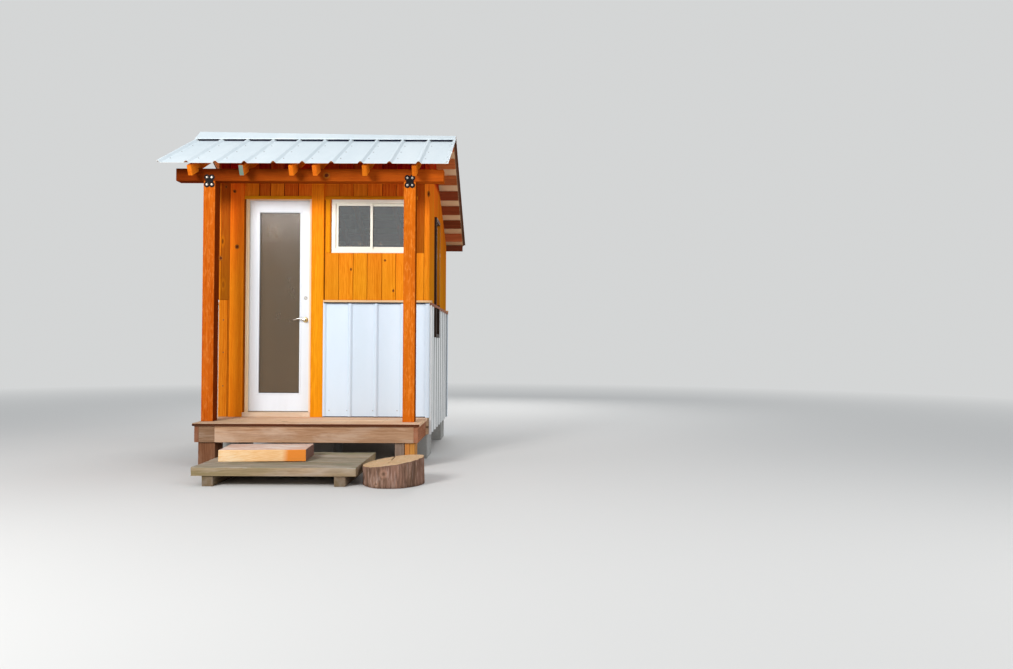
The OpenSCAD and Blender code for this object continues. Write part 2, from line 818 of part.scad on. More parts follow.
// A rectangular ring in X and Z, from y0 to y1
module ring(a, b, w, y0, y1) {
  difference() {
    box([a[0], y0, a[1]], [b[0], y1, b[1]]);
    box([a[0] + w, y0 - through, a[1] + w], [b[0] - w, y1 + through, b[1] - w]);
  }
}

window_mid = window_x + window_w / 2;
sash_y = window_in + (window_d - 2 * sash_d) / 2;
pane_z0 = window_z + frame_w;
pane_z1 = window_z + window_h - frame_w;

module window_frame() color("#f3f2ee") place() {
  ring([window_x, window_z], [window_x + window_w, window_z + window_h], frame_w,
    window_in, window_in + window_d);
  ring([window_x + frame_w, pane_z0], [window_mid + sash_w / 2, pane_z1], sash_w,
    sash_y, sash_y + sash_d);
  ring([window_mid - sash_w / 2, pane_z0], [window_x + window_w - frame_w, pane_z1], sash_w,
    sash_y + sash_d, sash_y + 2 * sash_d);
}

// The side window's frame fills its opening and stands proud of the wainscot
module side_window_frame() color("#2c2623") place() difference() {
  box([wall_w + side_frame_out - side_frame_d, side_window_y, side_window_z],
    [wall_w + side_frame_out, side_y1, side_z1]);
  box([wall_w - wall_t, side_window_y + side_frame_w, side_window_z + side_frame_w],
    [wall_w + side_frame_out + through, side_y1 - side_frame_w, side_z1 - side_frame_w]);
}

module window_glass() color("#5d6f70") place() {
  mid = (sash_d - glass_t) / 2;
  box([window_x + frame_w + sash_w, sash_y + mid, pane_z0 + sash_w],
    [window_mid - sash_w / 2, sash_y + mid + glass_t, pane_z1 - sash_w]);
  box([window_mid + sash_w / 2, sash_y + sash_d + mid, pane_z0 + sash_w],
    [window_x + window_w - frame_w - sash_w, sash_y + sash_d + mid + glass_t, pane_z1 - sash_w]);
  x = wall_w + side_frame_out - side_frame_d / 2;
  box([x, side_window_y + side_frame_w, side_window_z + side_frame_w],
    [x + glass_t, side_y1 - side_frame_w, side_z1 - side_frame_w]);
}

module step_platform() color("#837a68") place() {
  w = (platform_d - (plank_count - 1) * plank_gap) / plank_count;
  for (i = [0 : plank_count - 1]) {
    y = platform_y0 + i * (w + plank_gap);
    box([platform_x, y, platform_top - plank_t], [platform_x + platform_w, y + w, platform_top]);
  }
}

module platform_bearers() color("#6f6353") place() {
  for (x = [platform_x + bearer_in, platform_x + platform_w - bearer_in - bearer_w])
    box([x, platform_y0 + bearer_end, ground_z],
      [x + bearer_w, platform_y0 + platform_d - bearer_end, platform_top - plank_t]);
}

module timber_step() color("#cf8446") place() {
  translate([platform_x + step_in, platform_y0 + step_back, platform_top])
    rotate([0, 0, step_turn]) cube([step_w, step_d, step_h]);
}

// Sawn log standing on end, with an uneven outline and a top that slopes
module log_round() color("#6d5540") place() translate([log_x, -log_front, ground_z]) difference() {
  linear_extrude(log_h) polygon(log_points);
  translate([log_r + log_wave, 0, log_h]) rotate([log_tip, -log_lean, 0])
    translate([-4 * log_r, -2 * log_r, 0]) cube([5 * log_r, 4 * log_r, log_h]);
}

floor_frame();
floor_sheet();
foundation_blocks();
porch_front_rim();
porch_side_rims();
porch_joists();
porch_boards();
porch_blocks();
timber_block();
porch_posts();
porch_beam();
post_plates();
front_rafters();
rear_rafters();
ridge_board();
front_purlins();
rear_purlins();
rear_fascia();
front_roof_sheet();
rear_roof_sheet();
ridge_cap();
front_wall_left();
front_wall_right();
front_wall_head();
left_wall();
right_wall();
back_wall();
front_wainscot();
side_wainscots();
back_wainscot();
end_caps();
side_caps();
door_trims();
door_jambs();
head_jamb();
door_sill();
jamb_hinges();
window_frame();
side_window_frame();
window_glass();
step_platform();
platform_bearers();
timber_step();
log_round();
door_leaf();
door_glass();
door_handles();
leaf_hinges();
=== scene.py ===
import math
import random

import bmesh
import bpy
from mathutils import Matrix, Vector, noise
from mathutils.bvhtree import BVHTree


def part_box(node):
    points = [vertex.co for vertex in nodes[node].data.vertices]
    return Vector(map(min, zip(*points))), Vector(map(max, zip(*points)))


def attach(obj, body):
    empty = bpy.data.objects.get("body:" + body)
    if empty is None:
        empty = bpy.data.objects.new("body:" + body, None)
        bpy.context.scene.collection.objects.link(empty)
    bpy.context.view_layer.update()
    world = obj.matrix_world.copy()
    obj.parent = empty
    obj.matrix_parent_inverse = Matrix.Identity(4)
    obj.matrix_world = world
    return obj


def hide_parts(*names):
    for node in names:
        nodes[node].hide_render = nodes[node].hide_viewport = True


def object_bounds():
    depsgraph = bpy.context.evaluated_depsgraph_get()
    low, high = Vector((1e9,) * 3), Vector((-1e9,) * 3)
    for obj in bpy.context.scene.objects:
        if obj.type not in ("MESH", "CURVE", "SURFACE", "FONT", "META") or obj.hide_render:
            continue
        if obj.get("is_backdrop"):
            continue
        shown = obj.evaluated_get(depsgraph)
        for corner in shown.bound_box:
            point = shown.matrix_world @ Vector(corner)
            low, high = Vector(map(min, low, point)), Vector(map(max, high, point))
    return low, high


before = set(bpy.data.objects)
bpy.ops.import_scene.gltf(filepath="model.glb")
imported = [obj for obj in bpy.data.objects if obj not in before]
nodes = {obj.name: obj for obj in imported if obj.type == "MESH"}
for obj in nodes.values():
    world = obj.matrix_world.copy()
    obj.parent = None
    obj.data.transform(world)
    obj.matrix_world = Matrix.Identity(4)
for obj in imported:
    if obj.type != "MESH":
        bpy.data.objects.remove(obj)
cadLow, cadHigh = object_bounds()
chance = random.Random(11)  # one seed for every random draw
floorLow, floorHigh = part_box("floor_sheet")
corner = Vector((floorLow.x, floorLow.y, floorHigh.z))
print("frame loaded")


def spot(x, y, z):
    # millimetres right of, behind and above the floor's front left corner
    return corner + Vector((x, y, z)) / 1000


def boxOf(nodeName):
    # a node's low and high corner in the same millimetres
    return [(v - corner) * 1000 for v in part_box(nodeName)]


def clamped(value):
    return min(1, max(0, value))


capLow, capHigh = boxOf("end_caps")
wainLow = boxOf("front_wainscot")[0]


# Camera, floor and light

cameraLook = {"place": (2729, -7237.6, 647), "turn": 0.0030, "tilt": 0.0187, "roll": 0.0041, "lens": 27.37,
              "sensor": 36, "reach": 200}
camera = bpy.data.objects.new("camera", bpy.data.cameras.new("camera"))
camera.data.lens = cameraLook["lens"]
camera.data.sensor_width = cameraLook["sensor"]
camera.data.clip_end = cameraLook["reach"]
camera.matrix_world = (
    Matrix.Translation(spot(*cameraLook["place"]))
    @ Matrix.Rotation(cameraLook["turn"], 4, "Z")
    @ Matrix.Rotation(math.pi / 2 + cameraLook["tilt"], 4, "X")
    @ Matrix.Rotation(cameraLook["roll"], 4, "Z")
)
bpy.context.scene.collection.objects.link(camera)
bpy.context.scene.camera = camera
bpy.context.scene.view_settings.view_transform = "Standard"


def addNode(tree, kind, values=None, **settings):
    made = tree.nodes.new("ShaderNode" + kind)
    for key, value in settings.items():
        setattr(made, key, value)
    for key, value in (values or {}).items():
        if isinstance(value, bpy.types.NodeSocket):
            tree.links.new(value, made.inputs[key])
        else:
            made.inputs[key].default_value = value
    return made


def combine(tree, operation, first, second):
    return addNode(tree, "Math", {0: first, 1: second}, operation=operation).outputs[0]


def plus(tree, first, second):
    return combine(tree, "ADD", first, second)


def times(tree, first, second):
    return combine(tree, "MULTIPLY", first, second)


def spread(tree, value, low, high, toLow=0.0, toHigh=1.0):
    ends = {"Value": value, "From Min": low, "From Max": high, "To Min": toLow, "To Max": toHigh}
    return addNode(tree, "MapRange", ends).outputs[0]


def blendColours(tree, factor, first, second):
    # each colour is a socket or three numbers
    sides = [side if isinstance(side, bpy.types.NodeSocket) else (*side, 1) for side in (first, second)]
    return addNode(tree, "Mix", {6: sides[0], 7: sides[1], 0: factor}, data_type="RGBA").outputs[2]


def cloud(tree, vector, scale, detail, roughness, distortion=0.0):
    # noise at one scale, or stretched by three
    if isinstance(scale, tuple):
        vector, scale = addNode(tree, "Mapping", {"Vector": vector, "Scale": scale}).outputs[0], 1.0
    values = {"Vector": vector, "Scale": scale, "Detail": detail, "Roughness": roughness, "Distortion": distortion}
    return addNode(tree, "TexNoise", values).outputs[0]


def seenBackground(tree):
    # 1 for rays that should meet the white backdrop
    path = addNode(tree, "LightPath")
    seen = combine(tree, "MAXIMUM", path.outputs["Is Camera Ray"], path.outputs["Is Glossy Ray"])
    return combine(tree, "MAXIMUM", seen, path.outputs["Is Transmission Ray"])


worldLook = {"ambient": (0.90, 0.97, 1.05, 1), "strength": 0.44, "backdrop": (0.66, 0.67, 0.67, 1)}
world = bpy.data.worlds.new("studio")
bpy.context.scene.world = world
world.use_nodes = True
tree = world.node_tree
background = tree.nodes["Background"]
background.inputs["Color"].default_value = worldLook["ambient"]
background.inputs["Strength"].default_value = worldLook["strength"]
backdrop = addNode(tree, "Background", {"Color": worldLook["backdrop"], "Strength": 1.0})
mixed = addNode(tree, "MixShader", {0: seenBackground(tree), 1: background.outputs[0], 2: backdrop.outputs[0]})
tree.links.new(mixed.outputs[0], tree.nodes["World Output"].inputs["Surface"])

floorLook = {"size": 60.0, "colour": (0.66, 0.65, 0.63, 1), "rough": 0.9, "gloss": 0.1, "fadeFrom": 4.5,
             "fadeTo": 16.0}
bm = bmesh.new()
bmesh.ops.create_grid(bm, x_segments=1, y_segments=1, size=floorLook["size"] / 2)
bmesh.ops.translate(bm, verts=bm.verts, vec=(0, 0, cadLow.z))
floorMesh = bpy.data.meshes.new("studioFloor")
bm.to_mesh(floorMesh)
bm.free()
studioFloor = bpy.data.objects.new("studioFloor", floorMesh)
bpy.context.scene.collection.objects.link(studioFloor)
studioFloor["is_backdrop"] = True
floorFinish = bpy.data.materials.new("paleFloor")
floorFinish.use_nodes = True
tree = floorFinish.node_tree
surface = tree.nodes["Principled BSDF"]
surface.inputs["Base Color"].default_value = floorLook["colour"]
surface.inputs["Roughness"].default_value = floorLook["rough"]
surface.inputs["Specular IOR Level"].default_value = floorLook["gloss"]
place = addNode(tree, "TexCoord").outputs["Object"]
far = addNode(tree, "VectorMath", {0: place}, operation="LENGTH").outputs["Value"]
fade = times(tree, spread(tree, far, floorLook["fadeFrom"], floorLook["fadeTo"]), seenBackground(tree))
glow = addNode(tree, "Emission", {"Color": worldLook["backdrop"], "Strength": 1.0})
mixed = addNode(tree, "MixShader", {0: fade, 1: surface.outputs[0], 2: glow.outputs[0]})
tree.links.new(mixed.outputs[0], tree.nodes["Material Output"].inputs["Surface"])
floorMesh.materials.append(floorFinish)

lampLooks = {
    "keyLamp": {"place": (-3.0, -7.2, 4.3), "aim": (0.0, -0.6, 1.2), "size": 2.6, "power": 480},
    "fillLamp": {"place": (6.0, -5.2, 3.4), "aim": (0.2, 0.0, 1.1), "size": 4.0, "power": 130},
    "topLamp": {"place": (0.5, 0.6, 7.5), "aim": (0.0, 0.0, 1.5), "size": 5.0, "power": 55},
    "rearLamp": {"place": (1.5, 7.5, 4.5), "aim": (0.0, 0.5, 1.4), "size": 4.0, "power": 260},
}
for name, look in lampLooks.items():
    lamp = bpy.data.objects.new(name, bpy.data.lights.new(name, "AREA"))
    lamp.data.shape = "DISK"
    lamp.data.size = look["size"]
    lamp.data.energy = look["power"]
    lamp.location = look["place"]
    lamp.rotation_euler = (Vector(look["aim"]) - Vector(look["place"])).to_track_quat("-Z", "Y").to_euler()
    bpy.context.scene.collection.objects.link(lamp)
print("studio ready")


# Finishes

def newFinish(name):
    finish = bpy.data.materials.new(name)
    finish.use_nodes = True
    finishTree = finish.node_tree
    return finish, finishTree, finishTree.nodes["Principled BSDF"]


# how far each pattern is stretched along and across a board, and how much of the pale to dark change it makes
grainScales = {"rings": (0.6, 8, 8), "streaks": (0.9, 26, 26), "fibres": (7, 420, 420), "blotches": (1.2, 5, 5),
               "patches": (2.2, 9, 9), "knots": (2.6, 7, 7)}
grainShares = {"streaks": 0.62, "rings": 0.3, "fibres": 0.16}
knotSizes = {"halo": (0.20, 0.09, 0.45), "heart": (0.105, 0.07, 0.85)}  # outer and inner reach, and strength


def woodFinish(name, look):
    # reads each board's own length, width and depth from "grain", and its shade from "board"
    finish, tree, shader = newFinish(name)
    grain = addNode(tree, "Attribute", attribute_name="grain").outputs["Vector"]
    shades = addNode(tree, "SeparateXYZ", {0: addNode(tree, "Attribute", attribute_name="board").outputs["Vector"]})
    rings = addNode(
        tree, "TexWave",
        {"Vector": addNode(tree, "Mapping", {"Vector": grain, "Scale": grainScales["rings"]}).outputs[0],
         "Scale": 5.0, "Distortion": 9.0, "Detail": 3.0, "Detail Scale": 1.3, "Detail Roughness": 0.55},
        wave_type="RINGS", rings_direction="X",
    ).outputs[1]
    streaks = cloud(tree, grain, look.get("streakScale", grainScales["streaks"]), 5.0, 0.62)
    fibres = cloud(tree, grain, grainScales["fibres"], 2.0, 0.6)
    blotches = cloud(tree, grain, grainScales["blotches"], 4.0, 0.55, 0.6)
    ringed = times(tree, rings, look.get("rings", grainShares["rings"]))
    share = plus(tree, times(tree, streaks, grainShares["streaks"]), ringed)
    share = plus(tree, share, times(tree, fibres, grainShares["fibres"]))
    colour = blendColours(tree, spread(tree, share, 0.3, 0.75), look["pale"], look["dark"])
    blotched = spread(tree, blotches, 0.42, 0.72, 0.0, look.get("blotch", 0.35))
    colour = blendColours(tree, blotched, colour, look["deep"])
    if "worn" in look:  # bleached or soiled patches over the stain
        patch = cloud(tree, grain, look.get("wornScale", grainScales["patches"]), 6.0, 0.65, 0.4)
        colour = blendColours(tree, spread(tree, patch, 0.50, 0.66, 0.0, look["wornShare"]), colour, look["worn"])
    if "shadeTint" in look:  # a painted shade tint, where the piece's third shade value is high
        uneven = plus(tree, shades.outputs[2], times(tree, blotches, 0.5))
        colour = blendColours(tree, spread(tree, uneven, 0.55, 0.95), colour, look["shadeTint"])
    tone = plus(tree, times(tree, shades.outputs[0], look.get("tone", 0.16)), 1.0)
    warmth = plus(tree, times(tree, shades.outputs[1], 0.010), 0.5)
    colour = addNode(tree, "HueSaturation", {"Hue": warmth, "Value": tone, "Color": colour}).outputs[0]
    places = addNode(tree, "Mapping", {"Vector": grain, "Scale": grainScales["knots"]}).outputs[0]
    cells = addNode(tree, "TexVoronoi", {"Vector": places, "Scale": 1.0, "Randomness": 0.9})
    bare = 1 - look.get("knots", 0.2)
    chosen = spread(tree, addNode(tree, "SeparateColor", {0: cells.outputs["Color"]}).outputs[0], bare, bare + 0.01)
    for part, tint in (("halo", look["dark"]), ("heart", look["knot"])):
        outer, inner, strength = knotSizes[part]
        knot = times(tree, spread(tree, cells.outputs["Distance"], outer, inner), chosen)
        colour = blendColours(tree, times(tree, knot, strength), colour, tint)
    tree.links.new(colour, shader.inputs["Base Color"])
    rough = spread(tree, share, 0.3, 0.8, look["rough"][0], look["rough"][1])
    tree.links.new(rough, shader.inputs["Roughness"])
    shader.inputs["Specular IOR Level"].default_value = look.get("gloss", 0.0)
    height = plus(tree, times(tree, fibres, 0.5), times(tree, share, -0.6))
    height = plus(tree, height, times(tree, knot, 0.25))
    relief = {"Strength": look.get("relief", 0.5), "Distance": look.get("depth", 0.0012), "Height": height}
    tree.links.new(addNode(tree, "Bump", relief).outputs[0], shader.inputs["Normal"])
    return finish


woodLooks = {
    "cedarSiding": {"pale": (0.88, 0.34, 0.018), "dark": (0.68, 0.205, 0.006), "deep": (0.62, 0.165, 0.005),
        "knot": (0.1, 0.022, 0.004), "rough": (0.46, 0.66), "tone": 0.08, "knots": 0.22},
    "honeyTrim": {"pale": (0.86, 0.31, 0.012), "dark": (0.68, 0.19, 0.005), "deep": (0.62, 0.15, 0.004),
        "knot": (0.14, 0.03, 0.004), "rough": (0.38, 0.58), "tone": 0.1, "knots": 0.25},
    "redOrangeStain": {"pale": (0.7, 0.145, 0.01), "dark": (0.5, 0.078, 0.004), "deep": (0.42, 0.055, 0.004),
        "knot": (0.09, 0.015, 0.004), "rough": (0.5, 0.72), "worn": (0.86, 0.29, 0.06), "wornShare": 0.42,
        "wornScale": (16, 60, 60), "blotch": 0.45, "tone": 0.08, "knots": 0.3, "depth": 0.002},
    # the beam's deep red stain, also put on the posts' right faces as painted shade
    "deepRedStainAndShade": {"pale": (0.31, 0.05, 0.005), "dark": (0.18, 0.023, 0.003), "deep": (0.14, 0.018, 0.003),
        "knot": (0.04, 0.01, 0.004), "rough": (0.48, 0.7), "tone": 0.08, "knots": 0.4},
    "orangeStain": {"pale": (0.8, 0.23, 0.014), "dark": (0.55, 0.115, 0.006), "deep": (0.48, 0.09, 0.005),
        "knot": (0.1, 0.02, 0.004), "rough": (0.46, 0.66), "tone": 0.14},
    # a paler copy of the rafters' stain for their right faces, as painted light
    "rafterSideLit": {"pale": (0.98, 0.36, 0.022), "dark": (0.85, 0.2, 0.012), "deep": (0.72, 0.15, 0.009),
        "knot": (0.12, 0.03, 0.006), "rough": (0.46, 0.66), "tone": 0.14},
    "redBrownStain": {"pale": (0.26, 0.085, 0.035), "dark": (0.13, 0.036, 0.016), "deep": (0.1, 0.028, 0.014),
        "knot": (0.04, 0.012, 0.006), "rough": (0.55, 0.78), "tone": 0.25},
    # dark behind the board joints, and the painted shadows beside the raised boards
    "jointAndShadowBrown": {"pale": (0.3, 0.078, 0.008), "dark": (0.2, 0.046, 0.005), "deep": (0.15, 0.033, 0.004),
        "knot": (0.06, 0.015, 0.004), "rough": (0.6, 0.8)},
    "purlinRed": {"pale": (0.46, 0.14, 0.045), "dark": (0.28, 0.076, 0.025), "deep": (0.2, 0.052, 0.017),
        "knot": (0.06, 0.015, 0.006), "rough": (0.6, 0.8), "tone": 0.3},
    "pinkBrown": {"pale": (0.56, 0.29, 0.19), "dark": (0.38, 0.18, 0.115), "deep": (0.31, 0.14, 0.085),
        "knot": (0.08, 0.03, 0.02), "rough": (0.6, 0.8)},
    "deckBoards": {"pale": (0.9, 0.64, 0.43), "dark": (0.68, 0.43, 0.26), "deep": (0.54, 0.33, 0.19),
        "knot": (0.1, 0.045, 0.02), "worn": (0.93, 0.77, 0.58), "wornShare": 0.5, "rough": (0.75, 0.95),
        "tone": 0.12, "relief": 0.8, "depth": 0.002, "blotch": 0.5},
    "brownBlock": {"pale": (0.33, 0.15, 0.078), "dark": (0.21, 0.085, 0.042), "deep": (0.16, 0.062, 0.03),
        "knot": (0.05, 0.02, 0.01), "worn": (0.38, 0.22, 0.14), "wornShare": 0.4, "rough": (0.75, 0.95),
        "tone": 0.1, "relief": 0.8, "depth": 0.002, "blotch": 0.5},
    "weatheredDeck": {"pale": (0.54, 0.33, 0.2), "dark": (0.34, 0.18, 0.095), "deep": (0.27, 0.135, 0.065),
        "knot": (0.08, 0.04, 0.02), "worn": (0.62, 0.46, 0.35), "wornShare": 0.45, "rough": (0.75, 0.95),
        "gloss": 0.12, "tone": 0.12, "relief": 0.8, "depth": 0.002, "blotch": 0.5},
    # the deck's front edge, painted dark as shade
    "deckEdgeShade": {"pale": (0.13, 0.032, 0.007), "dark": (0.07, 0.016, 0.004), "deep": (0.05, 0.012, 0.004),
        "knot": (0.03, 0.012, 0.006), "rough": (0.6, 0.85), "gloss": 0.15},
    "greyBlock": {"pale": (0.3, 0.21, 0.155), "dark": (0.19, 0.125, 0.09), "deep": (0.15, 0.095, 0.065),
        "knot": (0.06, 0.035, 0.025), "worn": (0.36, 0.29, 0.24), "wornShare": 0.5, "rough": (0.8, 0.95),
        "gloss": 0.1, "tone": 0.1, "relief": 0.9, "depth": 0.003, "blotch": 0.6},
    "framingLumber": {"pale": (0.62, 0.44, 0.27), "dark": (0.45, 0.29, 0.16), "deep": (0.4, 0.24, 0.13),
        "knot": (0.13, 0.06, 0.03), "rough": (0.6, 0.8), "gloss": 0.2, "tone": 0.1, "knots": 0.3},
    "floorPanel": {"pale": (0.6, 0.42, 0.25), "dark": (0.44, 0.28, 0.15), "deep": (0.38, 0.24, 0.13),
        "knot": (0.16, 0.08, 0.04), "rough": (0.55, 0.75), "gloss": 0.2, "rings": 0.45},
    "freshTimber": {"pale": (0.66, 0.3, 0.06), "dark": (0.46, 0.17, 0.028), "deep": (0.42, 0.14, 0.022),
        "knot": (0.14, 0.05, 0.02), "rough": (0.55, 0.78), "gloss": 0.2, "tone": 0.12},
    # the step's orange tint at its right end is painted shade
    "sawnStep": {"pale": (0.94, 0.62, 0.36), "dark": (0.84, 0.47, 0.22), "deep": (0.8, 0.36, 0.13),
        "knot": (0.2, 0.07, 0.03), "worn": (0.94, 0.78, 0.56), "wornShare": 0.7, "shadeTint": (0.8, 0.22, 0.035),
        "rough": (0.65, 0.88), "gloss": 0.15, "tone": 0.05, "relief": 0.8, "depth": 0.0025, "blotch": 0.6},
    "stepTop": {"pale": (0.8, 0.56, 0.46), "dark": (0.62, 0.4, 0.32), "deep": (0.62, 0.32, 0.2),
        "knot": (0.2, 0.08, 0.05), "worn": (0.95, 0.88, 0.8), "wornShare": 0.75, "rough": (0.7, 0.9), "tone": 0.05,
        "relief": 0.8, "depth": 0.0025, "blotch": 0.6},
    "stepEnd": {"pale": (0.34, 0.195, 0.16), "dark": (0.22, 0.12, 0.1), "deep": (0.17, 0.09, 0.07),
        "knot": (0.08, 0.04, 0.03), "rough": (0.8, 0.95), "tone": 0.05, "relief": 0.9, "depth": 0.0025,
        "rings": 0.6},
    "sillWood": {"pale": (0.7, 0.56, 0.46), "dark": (0.54, 0.36, 0.23), "deep": (0.45, 0.25, 0.12),
        "knot": (0.14, 0.06, 0.03), "worn": (0.9, 0.8, 0.68), "wornShare": 0.5, "rough": (0.6, 0.8)},
    "jambTan": {"pale": (0.97, 0.8, 0.6), "dark": (0.94, 0.66, 0.42), "deep": (0.8, 0.47, 0.23),
        "knot": (0.2, 0.09, 0.04), "rough": (0.5, 0.7), "tone": 0.05, "blotch": 0.35, "relief": 0.3},
    "capWood": {"pale": (0.8, 0.59, 0.34), "dark": (0.72, 0.48, 0.24), "deep": (0.67, 0.41, 0.18),
        "knot": (0.2, 0.09, 0.04), "rough": (0.5, 0.7), "tone": 0.05, "blotch": 0.35, "relief": 0.4},
    "darkFrame": {"pale": (0.075, 0.045, 0.03), "dark": (0.04, 0.024, 0.018), "deep": (0.03, 0.018, 0.014),
        "knot": (0.01, 0.008, 0.006), "rough": (0.45, 0.6), "gloss": 0.06},
    "greyPlanks": {"pale": (0.42, 0.35, 0.27), "dark": (0.27, 0.22, 0.165), "deep": (0.2, 0.2, 0.11),
        "knot": (0.06, 0.045, 0.03), "worn": (0.52, 0.44, 0.38), "wornShare": 0.6, "rough": (0.8, 0.97),
        "tone": 0.12, "relief": 0.9, "depth": 0.003, "blotch": 0.8},
    "mossyPlanks": {"pale": (0.43, 0.3, 0.19), "dark": (0.28, 0.19, 0.115), "deep": (0.21, 0.17, 0.075),
        "knot": (0.06, 0.045, 0.03), "worn": (0.47, 0.38, 0.31), "wornShare": 0.5, "rough": (0.8, 0.97),
        "gloss": 0.1, "tone": 0.12, "relief": 0.9, "depth": 0.003, "blotch": 0.7},
    "logEnd": {"pale": (0.8, 0.54, 0.33), "dark": (0.58, 0.37, 0.2), "deep": (0.48, 0.34, 0.15),
        "knot": (0.12, 0.06, 0.03), "worn": (0.72, 0.58, 0.4), "wornShare": 0.5, "rings": 0.75, "knots": 0.0,
        "rough": (0.75, 0.95), "gloss": 0.1, "relief": 0.8, "depth": 0.002, "blotch": 0.5},
    "logBark": {"pale": (0.3, 0.165, 0.115), "dark": (0.12, 0.058, 0.042), "deep": (0.13, 0.08, 0.045),
        "knot": (0.06, 0.03, 0.02), "worn": (0.42, 0.29, 0.235), "wornShare": 0.55, "wornScale": (9, 40, 40),
        "streakScale": (7, 75, 75), "knots": 0.0, "rings": 0.1, "rough": (0.85, 0.98), "gloss": 0.08, "relief": 1.0,
        "depth": 0.006, "blotch": 0.6},
}
woods = {name: woodFinish(name, look) for name, look in woodLooks.items()}


def paintFinish(name, look):
    # coated metal, painted wood, plastic and concrete: even colour with soft soiling and a fine texture
    finish, tree, shader = newFinish(name)
    place = addNode(tree, "TexCoord").outputs["Object"]
    soft = cloud(tree, place, look.get("streak", (1.5, 1.5, 1.5)), 5.0, 0.6, 0.3)
    fine = cloud(tree, place, look.get("fineScale", 180.0), 3.0, 0.6)
    specks = cloud(tree, place, look.get("speckScale", 24.0), 2.0, 0.5)
    colour = blendColours(tree, spread(tree, soft, 0.35, 0.7), look["base"], look["soiled"])
    colour = blendColours(tree, spread(tree, specks, 0.66, 0.76, 0.0, look.get("specks", 0.2)), colour, look["speck"])
    colour = blendColours(tree, spread(tree, fine, 0.3, 0.7, 0.0, look.get("grit", 0.05)), colour, look["speck"])
    tree.links.new(colour, shader.inputs["Base Color"])
    tree.links.new(spread(tree, soft, 0.3, 0.7, look["rough"][0], look["rough"][1]), shader.inputs["Roughness"])
    shader.inputs["Metallic"].default_value = look.get("metallic", 0.0)
    shader.inputs["Specular IOR Level"].default_value = look.get("gloss", 0.5)
    shader.inputs["Coat Weight"].default_value = look.get("coat", 0.0)
    shader.inputs["Coat Roughness"].default_value = 0.2
    height = plus(tree, times(tree, soft, look.get("wave", 0.3)), times(tree, fine, look.get("grain", 0.1)))
    relief = {"Strength": look.get("relief", 0.2), "Distance": look.get("depth", 0.001), "Height": height}
    tree.links.new(addNode(tree, "Bump", relief).outputs[0], shader.inputs["Normal"])
    return finish


